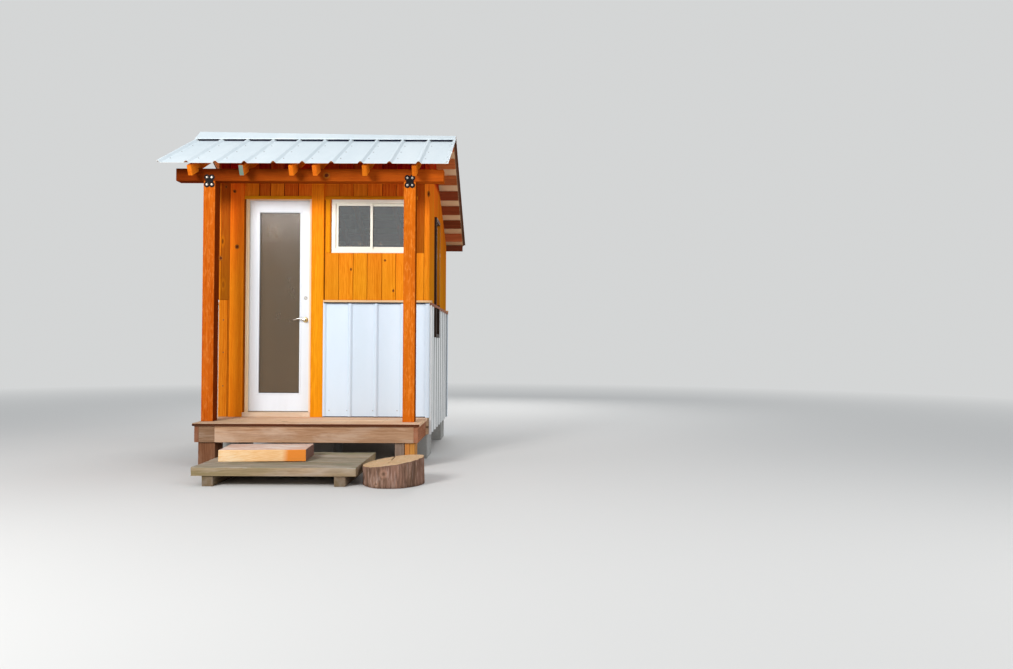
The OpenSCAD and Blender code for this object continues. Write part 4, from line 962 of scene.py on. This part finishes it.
plateBolts = {"dx": 43, "dz": 64, "posts": (79.5, 1850.5), "z": 2120, "front": -473,
              "size": (0.0066, 0.007, 0.0100, 12)}
bm = bmesh.new()
for x in plateBolts["posts"]:
    for sx in (-0.5, 0.5):
        for sz in (-0.5, 0.5):
            place = spot(x + sx * plateBolts["dx"], plateBolts["front"], plateBolts["z"] + sz * plateBolts["dz"])
            screwHead(bm, place, (0, -1, 0), *plateBolts["size"])
finished(bm, "plateBolts", paints["zincBolt"], smooth=30)
print("porch built")


# Roof

pitch = math.atan2(0.5, 1.0)
rafterEnds = {"painted": (0.37, 0.47), "front": -0.55}  # the painted end's span across the front, in metres


def paintedEnd(bm):
    # one rafter's end is painted, and the right faces take a paler copy of the stain as painted light
    secondFinish(bm, lambda face, place: face.normal.y < -0.7 and place.y < rafterEnds["front"]
                 and rafterEnds["painted"][0] < place.x < rafterEnds["painted"][1])
    for face in bm.faces:
        if face.normal.x > 0.9:
            face.material_index = 2


dressed("front_rafters", "frontRafters", [woods["orangeStain"], paints["endPaint"], woods["rafterSideLit"]],
        0.002, 1, pitch, after=paintedEnd)
dressed("rear_rafters", "rearRafters", woods["orangeStain"], 0.002, 1, -pitch)
dressed("ridge_board", "ridgeBoard", woods["orangeStain"], 0.002)


def purlinShade(nodeName, tilt, tones):
    # one shade for each purlin, in order from front to back
    turn = Matrix.Rotation(-tilt, 3, "X")
    copy = looseCopy(nodeName)
    middles = [sum((v.co for v in island), Vector()) / len(island) for island in islandsOf(copy)]
    rows = sorted((turn @ middle - corner).y for middle in middles)
    copy.free()

    def shadeOf(place, shade):
        nearest = min(range(len(rows)), key=lambda i: abs(rows[i] - place.y))
        return [tones[nearest % len(tones)], shade[1], 0.5]
    return shadeOf


dressed("front_purlins", "frontPurlins", woods["purlinRed"], 0.0015, 0, pitch)
dressed("rear_purlins", "rearPurlins", woods["purlinRed"], 0.0015, 0, -pitch,
        shadeOf=purlinShade("rear_purlins", -pitch, (2.0, 1.6, 1.0, -0.9, -0.7, -1.6, 1.0, -0.8)))
dressed("rear_fascia", "rearFascia", woods["redBrownStain"], 0.002, 0)


def bentSheet(nodeName, name, finish, bend=0.0025, long=0.3, second=lambda face, place: face.normal.z < -0.2,
              third=None, cuts=()):
    # the node's sheet with rounded bends along its ribs, a second finish underneath or on its flats, and a third
    bm = looseCopy(nodeName)
    softenEdges(bm, bend, 2, 20, lambda e: e.calc_length() > long and math.degrees(e.calc_face_angle()) < 80)
    giveGrain(bm)
    for x in cuts:
        cutAt(bm, spot(x, 0, 0), (1, 0, 0))
    if isinstance(finish, list):
        secondFinish(bm, second)
    for face in bm.faces if third else ():
        if third(face, face.calc_center_median() - corner):
            face.material_index = 2
    return finished(bm, name, finish, "building", [nodeName], 35)


roofEdge = 2174  # where the roof's last flat ends at the right
roofSkins = [paints["roofMetal"], paints["sheetUnderside"]]
bentSheet("front_roof_sheet", "frontRoofSheet", roofSkins)
# the rear sheet's underside past the last flat at the right is painted dark brown as shade
bentSheet("rear_roof_sheet", "rearRoofSheet", roofSkins + [paints["rearEdgeShade"]],
          third=lambda face, place: face.normal.z < -0.2 and place.x > roofEdge / 1000)
bentSheet("ridge_cap", "ridgeCap", roofSkins)

# the roof's ribs, in the floor's millimetres
ribs = {"first": -310, "pitch": 250, "count": 10, "top": 14, "flank": 17, "ridge": 285}
roofScrews = {"beside": 52, "last": 2185, "rows": {"front": 4, "rear": 7}, "edge": 0.062, "astrayX": 3,
              "astrayY": 0.004}
for side, rows in roofScrews["rows"].items():
    skin = surfaceOf(side + "_roof_sheet")
    low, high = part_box(side + "_purlins")
    starts = []
    for i in range(rows):
        y = low.y + roofScrews["edge"] + (high.y - low.y - roofScrews["edge"] * 2) * i / (rows - 1)
        for j in range(ribs["count"] + 1):
            x = min(ribs["first"] + ribs["pitch"] * j + roofScrews["beside"], roofScrews["last"])
            x = spot(x + chance.uniform(-roofScrews["astrayX"], roofScrews["astrayX"]), 0, 0).x
            astray = chance.uniform(-roofScrews["astrayY"], roofScrews["astrayY"])
            starts.append(Vector((x, y + astray, cadHigh.z + 0.2)))
    bm = bmesh.new()
    screwsOn(bm, skin, starts, (0, 0, -1))
    finished(bm, side + "RoofScrews", paints["roofScrew"])

# the sheets' side edges are folded down, and the front sheet's right corner is folded shut; the rear sheet's fold is
# painted dark brown as shade
fold = {"thick": 0.0012, "from": 0.0004, "drop": 0.019, "inside": 0.006, "ends": 0.02}
shut = {"setBack": 0.008, "rib": 0.012, "flat": 0.05, "underRib": 0.0065, "underFlat": 0.006, "lap": 0.016,
        "clear": 0.0001}
for side, finish in (("front", "roofMetal"), ("rear", "rearEdgeShade")):
    skin, (low, high) = surfaceOf(side + "_roof_sheet"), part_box(side + "_roof_sheet")
    bm = bmesh.new()
    for x0, x1, onRib in ((low.x, low.x + fold["thick"], low.x + fold["inside"]),
                          (high.x - fold["thick"], high.x, high.x - fold["inside"])):
        ends = []
        for y in (low.y + fold["ends"], high.y - fold["ends"]):
            place = downOnto(skin, onRib, y)[0]
            ends += [Vector((x, y, place.z - down)) for x in (x0, x1) for down in (fold["from"], fold["drop"])]
        bmesh.ops.convex_hull(bm, input=[bm.verts.new(end) for end in ends])
    if side == "front":
        y = low.y + shut["setBack"]
        top = downOnto(skin, onRib, y + shut["rib"])[0].z - shut["underRib"]
        foot = downOnto(skin, high.x - shut["flat"], low.y + fold["ends"])[0].z - shut["underFlat"]
        left, right = spot(roofEdge, 0, 0).x, high.x - shut["clear"]
        corners = [(left, foot), (left + shut["lap"], top), (right, top), (right, foot)]
        ends = [(x, end, z) for x, z in corners for end in (y, y + fold["thick"])]
        bmesh.ops.convex_hull(bm, input=[bm.verts.new(end) for end in ends])
    finished(bm, side + "EdgeFolds", paints[finish])

closure = {"setBack": 104, "depth": 22, "height": 22, "clear": 2}
bm = bmesh.new()
for side, skin in ((-1, surfaceOf("front_roof_sheet")), (1, surfaceOf("rear_roof_sheet"))):
    for i in range(ribs["count"]):
        start = ribs["first"] + ribs["pitch"] * i + ribs["top"] + ribs["flank"] + closure["clear"]
        end = ribs["first"] + ribs["pitch"] * (i + 1) - ribs["flank"] - closure["clear"]
        middle = spot((start + end) / 2, ribs["ridge"] + side * closure["setBack"], 0)
        place, normal = downOnto(skin, middle.x, middle.y)
        size = Matrix.Diagonal(((end - start) / 1000, closure["depth"] / 1000, closure["height"] / 1000, 1))
        turn = Matrix.Rotation(-side * pitch, 4, "X")
        at = Matrix.Translation(place + normal * closure["height"] / 2000) @ turn @ size
        bmesh.ops.create_cube(bm, size=1.0, matrix=at)
softenEdges(bm, 0.002, 1)
finished(bm, "closureStrips", paints["closureFoam"])

bentSheet("front_wainscot", "frontWainscot", paints["wainscotMetal"])
ribShade = {"out": 7, "flat": 4, "lean": 0.3}  # painted shade on the side wainscots' flats and beside their ribs
sideFace = boxOf("right_wall")[1].x
# the side wainscots' metal: a paler copy on the rib flanks as painted light, a darker copy on the flats and a darker
# one still beside the ribs as painted shade
sideSkins = [paints["sideCoat"], paints["sideFlatsShade"], paints["ribPaintedShade"]]
bentSheet("side_wainscots", "sideWainscots", sideSkins,
          second=lambda face, place: abs(face.normal.x) > 0.8
          and -ribShade["flat"] < place.x * 1000 < sideFace + ribShade["flat"],
          third=lambda face, place: abs(face.normal.y) > ribShade["lean"]
          and -ribShade["out"] < place.x * 1000 < sideFace + ribShade["out"],
          cuts=(-ribShade["out"], sideFace + ribShade["out"]))
bentSheet("back_wainscot", "backWainscot", paints["wainscotMetal"])

# metal angles at the hut's corners, the front right one in front of the ribs
flashing = {"front": 1949, "corner": 1983, "side": 2003, "out": 22, "back": 40, "z": (1, capLow.z - 0.5),
            "thick": 1.5, "lower": 25, "rear": ((-23, 36, -23), (1944, 2003, 2001.5)), "rearOut": (21.5, 23),
            "rearLeg": 36}
bm, sideLeg = bmesh.new(), bmesh.new()
bottom, top = flashing["z"]
foot, wallBack = boxOf("side_wainscots")[0].z, boxOf("back_wall")[1].y
x, out, thick = flashing["corner"], flashing["out"], flashing["thick"]
boxAt(bm, (flashing["front"], -out, bottom), (x, thick - out, top))
boxAt(bm, (x - thick, thick - out, bottom), (x, 0, top))
boxAt(sideLeg, (x, -thick, foot), (flashing["side"], 0, top - flashing["lower"]))
boxAt(sideLeg, (flashing["side"] - thick, 0, foot), (flashing["side"], flashing["back"], top - flashing["lower"]))
rearIn, rearOut = [wallBack + y for y in flashing["rearOut"]]
for x0, x1, sideX in flashing["rear"]:
    boxAt(bm, (x0, rearIn, foot), (x1, rearOut, top))
    boxAt(bm, (sideX, wallBack - flashing["rearLeg"], foot), (sideX + thick, rearIn, top - flashing["lower"]))
finished(bm, "cornerFlashing", paints["wainscotMetal"])
finished(sideLeg, "sideFlashing", paints["sideCoat"])

# dark foam under the cap, which also stands for the cap's shadow as painted shade, and at the wainscot's foot
seals = {"under": 10, "out": 23, "foot": (0.4, 7.6), "footOut": 5, "clear": 0.3, "left": wainLow.x + 5,
         "short": (2, 6)}
bm = bmesh.new()
boxAt(bm, (seals["left"], -seals["out"], capLow.z - seals["under"]),
      (x - seals["short"][0], -seals["clear"], capLow.z - seals["clear"]))
boxAt(bm, (seals["left"], -seals["footOut"], seals["foot"][0]),
      (x - seals["short"][1], -seals["clear"], seals["foot"][1]))
finished(bm, "wainscotSeals", paints["closureFoam"])

wainscotScrews = {"front": (1043, 1212, 1455, 1683), "frontRow": 63, "rows": (-118, 330, 710, 1020),
                  "side": range(60, 1900, 238), "back": range(64, 1960, 247), "outside": (-300, 2300),
                  "size": (0.0035, 0.003, 0.0062)}
before, behind = wainscotScrews["outside"]  # where the lines that find the sheets start
fromFront = [spot(x, before, wainscotScrews["frontRow"]) for x in wainscotScrews["front"]]
fromLeft, fromRight = [[spot(x, y, z) for y in wainscotScrews["side"] for z in wainscotScrews["rows"]]
                       for x in (before, behind)]
fromBack = [spot(x, behind, z) for x in wainscotScrews["back"] for z in wainscotScrews["rows"]]
bm = bmesh.new()
for nodeName, starts, way in (("front_wainscot", fromFront, (0, 1, 0)), ("side_wainscots", fromLeft, (1, 0, 0)),
                              ("side_wainscots", fromRight, (-1, 0, 0)), ("back_wainscot", fromBack, (0, -1, 0))):
    screwsOn(bm, surfaceOf(nodeName), starts, way, *wainscotScrews["size"])
finished(bm, "wainscotScrews", paints["roofScrew"])

dressed("end_caps", "endCaps", woods["capWood"], 0.002, 0)
dressed("side_caps", "sideCaps", [woods["pinkBrown"], woods["capWood"]], 0.002, 1,
        after=lambda bm: secondFinish(bm, lambda face, place: face.normal.z > 0.7))

# the side cap runs on in front of the dark frame
bridge = {"x": (2004.3, 2008), "z": (1055, 1078), "past": 4}
frameLow, frameHigh = boxOf("side_window_frame")
bm = bmesh.new()
boxAt(bm, (bridge["x"][0], frameLow.y - bridge["past"], bridge["z"][0]),
      (bridge["x"][1], frameHigh.y + bridge["past"], bridge["z"][1]))
giveGrain(bm, 1)
secondFinish(bm, lambda face, place: face.normal.z > 0.7)
finished(bm, "capBridge", [woods["pinkBrown"], woods["capWood"]])
print("roof and metal on")


# Door and windows

dressed("door_jambs", "doorJambs", woods["jambTan"], 0.001, 2)
dressed("head_jamb", "headJamb", woods["jambTan"], 0.001, 0)
dressed("door_sill", "doorSill", woods["sillWood"], 0.004, 0, segments=3)
dressed("door_leaf", "doorLeaf", paints["whitePaint"], 0.0018, 2, body="door")
dressed("window_frame", "windowFrame", paints["whiteVinyl"], 0.0018)

honeyFaces = {"in": 1.85, "stile": 0.79, "head": 1.93}  # metres: how deep, how far back and how high they start


def honeyEdge(bm):
    # the frame's rear stile and head are honey stained on their outer faces above the cap
    cutAt(bm, spot(0, 0, capHigh.z), (0, 0, 1))

    def chosen(face, place):
        if place.x < honeyFaces["in"] or place.z < capHigh.z / 1000:
            return False
        outer = face.normal.x > 0.5
        stile = place.y > honeyFaces["stile"] and (outer or face.normal.y < -0.5)
        return stile or place.z > honeyFaces["head"] and outer
    secondFinish(bm, chosen)


dressed("side_window_frame", "sideWindowFrame", [woods["darkFrame"], woods["honeyTrim"]], 0.0018,
        after=honeyEdge)
dressed("jamb_hinges", "jambHinges", paints["brightSteel"], 0.0004)
dressed("leaf_hinges", "leafHinges", paints["brightSteel"], 0.0004, body="door")
panes = nodes["window_glass"]
panes.data.materials.clear()
for glass in ("clearGlass", "sideGlass"):
    panes.data.materials.append(glasses[glass])
for face in panes.data.polygons:
    face.material_index = (panes.matrix_world @ face.center - corner).x > 1.9

# ribbed obscure glass: upright reeds on the outside, flat inside
reeds = {"count": 34, "steps": 6, "deep": 0.0016}
low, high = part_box("door_glass")
size = high - low
bm = bmesh.new()
bmesh.ops.create_grid(bm, x_segments=reeds["count"] * reeds["steps"], y_segments=1, size=0.5)
for v in bm.verts:
    across, up = v.co.x + 0.5, v.co.y + 0.5
    crown = abs(math.sin(math.pi * across * reeds["count"]))
    v.co = low + Vector((size.x * across, reeds["deep"] * (1 - crown), size.z * up))
made = bmesh.ops.extrude_face_region(bm, geom=bm.faces[:])
for v in made["geom"]:
    if isinstance(v, bmesh.types.BMVert):
        v.co.y = high.y
finished(bm, "reededGlass", glasses["obscureGlass"], "door", ["door_glass"], 50)

# the lever's roses, necks and locks are profiles of (radius, height), the first in shares of the rose
handle = {"x": 797, "z": 914, "lockZ": 1122, "faces": (70, 108), "rose": 0.026, "reach": 0.048}
lever = {"steps": 14, "start": 0.008, "long": 0.112, "rise": 0.004, "wave": 0.0085, "turns": (1.35, 0.35),
         "dip": 0.010, "wide": (0.0115, 0.003), "high": (0.0175, 0.0065), "tip": (0.002, -0.004)}
leverEnd = dict(zip((lever["steps"] - 1, lever["steps"]), lever["tip"]))  # a bulge and then a round end
roseProfile = [(0.0, 0.0), (1.0, 0.0), (1.0, 0.003), (0.96, 0.0055), (0.86, 0.0072), (0.62, 0.0080), (0.52, 0.0078),
               (0.44, 0.0088), (0.0, 0.0088)]
neckProfile = [(0.0, 0.004), (0.0105, 0.004), (0.0098, 0.012), (0.0080, 0.020), (0.0080, 0.036), (0.0092, 0.044),
               (0.0085, 0.052), (0.0, 0.0535)]
lockProfile = [(0.0, 0.0), (0.017, 0.0), (0.017, 0.003), (0.0155, 0.0062), (0.0125, 0.0076), (0.0118, 0.0060),
               (0.0, 0.0060)]
bright, brassy = bmesh.new(), bmesh.new()
for side, face in zip((-1, 1), handle["faces"]):
    at = spot(handle["x"], face, handle["z"])
    spun(brassy, [(r * handle["rose"], h) for r, h in roseProfile], at, (0, side, 0))
    spun(bright, neckProfile, at, (0, side, 0))
    stations = []
    for i in range(lever["steps"] + 1):
        t = i / lever["steps"]
        wave = lever["wave"] * math.sin(t * math.pi * lever["turns"][0] - lever["turns"][1]) + lever["rise"] * t
        dip = -side * lever["dip"] * math.sin(math.pi * min(1, t * 1.02)) * t
        tall = lever["high"][0] - lever["high"][1] * t + leverEnd.get(i, 0)
        place = at + Vector((lever["start"] - lever["long"] * t, side * handle["reach"] + dip, wave))
        stations.append((place, lever["wide"][0] - lever["wide"][1] * t, tall))
    swept(bright, stations, 14)
    spun(bright, lockProfile, spot(handle["x"], face, handle["lockZ"]), (0, side, 0))
turnPiece = {"out": 10, "size": (0.007, 0.014, 0.026)}
at = Matrix.Translation(spot(handle["x"], handle["faces"][1] + turnPiece["out"], handle["lockZ"]))
made = bmesh.ops.create_cube(bright, size=1.0, matrix=at @ Matrix.Diagonal((*turnPiece["size"], 1)))
edges = {e for v in made["verts"] for e in v.link_edges}
softenEdges(bright, 0.002, chosen=lambda e: e in edges)
giveGrain(bright)
finished(bright, "doorLevers", paints["brightSteel"], "door", ["door_handles"], 35)
finished(brassy, "leverRoses", paints["agedBrass"], "door", smooth=35)

keyhole = {"in": 0.0062, "size": (0.0016, 0.0006, 0.008)}
at = Matrix.Translation(spot(handle["x"], handle["faces"][0], handle["lockZ"]) + Vector((0, -keyhole["in"], 0)))
bm = bmesh.new()
bmesh.ops.create_cube(bm, size=1.0, matrix=at @ Matrix.Diagonal((*keyhole["size"], 1)))
finished(bm, "lockKeyway", paints["gasket"], "door")

gaskets = {"wide": 4, "proud": 0.8, "thin": 20}  # millimetres; of the window panes only the thin ones have them


def gasketRing(bm, corners, faces):
    # dark strips round a pane: its lower and upper corner, and where its two faces lie
    (x0, z0), (x1, z1) = corners
    w = gaskets["wide"]
    upright = [((x, z0 + w), (x + w, z1 - w)) for x in (x0, x1 - w)]
    for a, b in [((x0, z0), (x1, z0 + w)), ((x0, z1 - w), (x1, z1))] + upright:
        boxAt(bm, (a[0], faces[0] - gaskets["proud"], a[1]), (b[0], faces[1] + gaskets["proud"], b[1]))


bm = bmesh.new()
paneCopy = looseCopy("window_glass")
for island in islandsOf(paneCopy):
    places = [(v.co - corner) * 1000 for v in island]
    a = [min(q[i] for q in places) for i in range(3)]
    b = [max(q[i] for q in places) for i in range(3)]
    if b[1] - a[1] < gaskets["thin"]:
        gasketRing(bm, ((a[0], a[2]), (b[0], b[2])), (a[1], b[1]))
paneCopy.free()
finished(bm, "windowGaskets", paints["gasket"])
low, high = boxOf("door_glass")
bm = bmesh.new()
gasketRing(bm, ((low.x, low.z), (high.x, high.z)), (low.y, high.y))
finished(bm, "doorGlassSeal", paints["gasket"], "door")
print("door and windows hung")


# Steps and log

stepWear = {"plank": 0.006, "timber": 0.0028, "bearer": 0.003, "shadeSpan": (925, 1050)}


def wornPlanks(bm):
    pressedIn(bm, stepWear["plank"], (5, 11, 18), 0.035)
    secondFinish(bm, lambda face, place: face.normal.z > 0.75)


def timberShadeAndWear(bm):
    # the step's front turns orange towards its right end as painted shade, its top is greyer and its end face dark
    pressedIn(bm, stepWear["timber"], (7, 12, 16), 0.03)
    board = bm.verts.layers.float_vector["board"]
    start, end = stepWear["shadeSpan"]
    for v in bm.verts:
        v[board] = Vector((v[board].x, v[board].y, clamped(((v.co - corner).x * 1000 - start) / (end - start))))
    secondFinish(bm, lambda face, place: face.normal.z > 0.75)
    for face in bm.faces:
        if face.normal.x > 0.7:
            face.material_index = 2


dressed("step_platform", "stepPlanks", [woods["mossyPlanks"], woods["greyPlanks"]], 0.005,
        change=roundedNose(0.024, 5), after=wornPlanks)
# the bearers under the planks are toned darker as painted shade
dressed("platform_bearers", "stepBearers", woods["mossyPlanks"], 0.006,
        shadeOf=lambda place, shade: [-3.8, 0, 0.5],
        after=lambda bm: pressedIn(bm, stepWear["bearer"], (9, 9, 14), 0.06))
dressed("timber_step", "timberStep", [woods["sawnStep"], woods["stepTop"], woods["stepEnd"]],
        0.006, 0, after=timberShadeAndWear)

logLook = {"around": 264, "rows": 15, "wide": 238, "fissure": 0.0085, "lumps": 0.007, "chips": 0.004, "foot": 0.12,
           "tone": 3.0, "crack": {"x": -22, "from": -92, "to": 236, "half": 7, "deep": 0.022, "tone": -5.5}}
# each pattern's scale round and up the log, its shift and how narrow its cracks are
barkCracks = {"furrows": (42, 5, 0, 4.5), "fine": (95, 12, 4, 3.5)}
knotRing = {"reach": 1.6, "at": 0.85, "spread": 0.3, "raised": 0.005, "hollow": 0.006, "pale": 3.2, "dark": 4.0}
sawn = {"marks": (14, 60), "deep": 0.0014, "most": 0.0008, "under": 0.0010, "grain": 2.4}
logKnots = ((-9, -277, 27), (-23, -352, 18))  # degrees right of the front, height and radius in millimetres
low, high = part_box("log_round")
logMiddle = Vector(((low.x + high.x) / 2, (low.y + high.y) / 2, 0))
shape = looseCopy("log_round")
rim = [v.co - logMiddle for v in shape.verts if v.co.z > low.z + 0.05]
outline = sorted((math.atan2(p.y, p.x), p.xy.length, p.z) for p in rim)
shape.free()


def alongOutline(angle, index):
    # the log's radius or top height at an angle, between the solid's own corners
    angle = (angle + math.pi) % math.tau - math.pi
    after = next((i for i, entry in enumerate(outline) if entry[0] >= angle), 0)
    first, second = outline[after - 1], outline[after]
    span = (second[0] - first[0]) % math.tau or 1
    share = ((angle - first[0]) % math.tau) / span
    return first[index] + (second[index] - first[index]) * share


def furrowed(at, z, scale, rise, shift, sharp):
    # 1 along the middle of a crack in the bark, 0 between the cracks
    return max(0, 1 - abs(noise.noise(Vector((at.x * scale, at.y * scale, z * rise + shift)))) * sharp)


def barkDepth(angle, z):
    at = Vector((math.cos(angle), math.sin(angle), 0)) * logLook["wide"] / 1000
    furrow, fine = furrowed(at, z, *barkCracks["furrows"]), furrowed(at, z, *barkCracks["fine"])
    lumps = 0.5 + noise.noise(Vector((at.x * 9, at.y * 9, z * 6 + 7))) * 0.9
    deep, shade = logLook["fissure"] * (0.75 * furrow + 0.35 * fine), 0
    for turn, height, radius in logKnots:
        across = ((angle + math.pi / 2 - math.radians(turn) + math.pi) % math.tau - math.pi) * logLook["wide"]
        away = math.hypot(across, z * 1000 - height) / radius
        if away < knotRing["reach"]:
            ring = math.exp(-((away - knotRing["at"]) / knotRing["spread"]) ** 2)
            calm = (away / knotRing["reach"]) ** 2
            deep = deep * calm - knotRing["raised"] * ring + knotRing["hollow"] * max(0, 1 - away * 1.6)
            lumps *= 0.4
            furrow *= calm
            shade += knotRing["pale"] * ring - knotRing["dark"] * max(0, 1 - away * 1.8)
    return max(0, deep + logLook["lumps"] * max(0, lumps)), furrow, shade


bm = bmesh.new()
grain = bm.verts.layers.float_vector.new("grain")
board = bm.verts.layers.float_vector.new("board")
ring = bmesh.ops.create_circle(bm, segments=logLook["around"], radius=1.0)["verts"]
angles = [math.tau * i / logLook["around"] for i in range(logLook["around"])]
inward = (0.992, 0.975, 0.95, 0.9, 0.83, 0.74, 0.64, 0.54, 0.44, 0.34, 0.24, 0.14, 0.06)
middleTop = (alongOutline(0, 2) + alongOutline(math.pi, 2)) / 2


def placeRing(ring, level, inset=1.0):
    # lays a ring on the bark at a level, or on the sawn top at an inset
    crack = logLook["crack"]
    for v, angle in zip(ring, angles):
        top = alongOutline(angle, 2)
        z = low.z + (top - low.z) * level
        depth, furrow, shade = barkDepth(angle, z - corner.z)
        radius = (alongOutline(angle, 1) * 0.997 - depth * (1 if inset > 0.94 else inset)) * inset
        v.co = logMiddle + Vector((math.cos(angle) * radius, math.sin(angle) * radius, z))
        if inset < 1 or level == 1:
            v.co.z = middleTop + (top - middleTop) * inset
            away = v.co - logMiddle
            saw = noise.noise(Vector((v.co.x * sawn["marks"][0], v.co.y * sawn["marks"][1], 3))) * sawn["deep"]
            chip = max(0, noise.noise(Vector((v.co.x * 16, v.co.y * 16, 1))) + 0.15) * max(0, (inset - 0.9) * 10)
            beside = away.x * 1000 - crack["x"] - 4 * noise.noise(Vector((0, v.co.y * 20, 2)))
            split = max(0, 1 - abs(beside) / crack["half"]) if crack["from"] < away.y * 1000 < crack["to"] else 0
            v.co.z += min(saw, sawn["most"]) - sawn["under"] - logLook["chips"] * chip - crack["deep"] * split
            v[grain] = Vector((0.3, away.x * sawn["grain"], away.y * sawn["grain"]))
            v[board] = Vector((crack["tone"] * split, 0, 0.5))
        else:
            v[grain] = Vector((z, angle * logLook["wide"] / 1000, 0.2 + 0.1 * math.sin(angle)))
            foot = max(0, 1 - level / logLook["foot"])
            v[board] = Vector((shade + 0.8 - logLook["tone"] * (furrow + foot), 0, 0.5))


def nextRing(ring):
    # extrudes a ring once more, with its vertices in the same order
    held = set(ring)
    edges = [e for e in {e for v in ring for e in v.link_edges} if e.verts[0] in held and e.verts[1] in held]
    made = bmesh.ops.extrude_edge_only(bm, edges=edges)["geom"]
    fresh = {v for v in made if isinstance(v, bmesh.types.BMVert)}
    partner = {v: e.other_vert(v) for v in ring for e in v.link_edges if e.other_vert(v) in fresh}
    return [partner[v] for v in ring]


bmesh.ops.contextual_create(bm, geom=ring)
placeRing(ring, 0)
for i in range(1, logLook["rows"] + 1):
    ring = nextRing(ring)
    placeRing(ring, i / logLook["rows"])
sideFaces = len(bm.faces)
for inset in inward:
    ring = nextRing(ring)
    placeRing(ring, 1, inset)
bmesh.ops.contextual_create(bm, geom=ring)
bm.faces.ensure_lookup_table()
for face in bm.faces[sideFaces:]:
    face.material_index = 1
finished(bm, "logRound", [woods["logBark"], woods["logEnd"]], "building", ["log_round"], 60)
print("steps laid")

low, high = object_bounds()
{"cad": [list(cadLow), list(cadHigh)], "visual": [list(low), list(high)]}
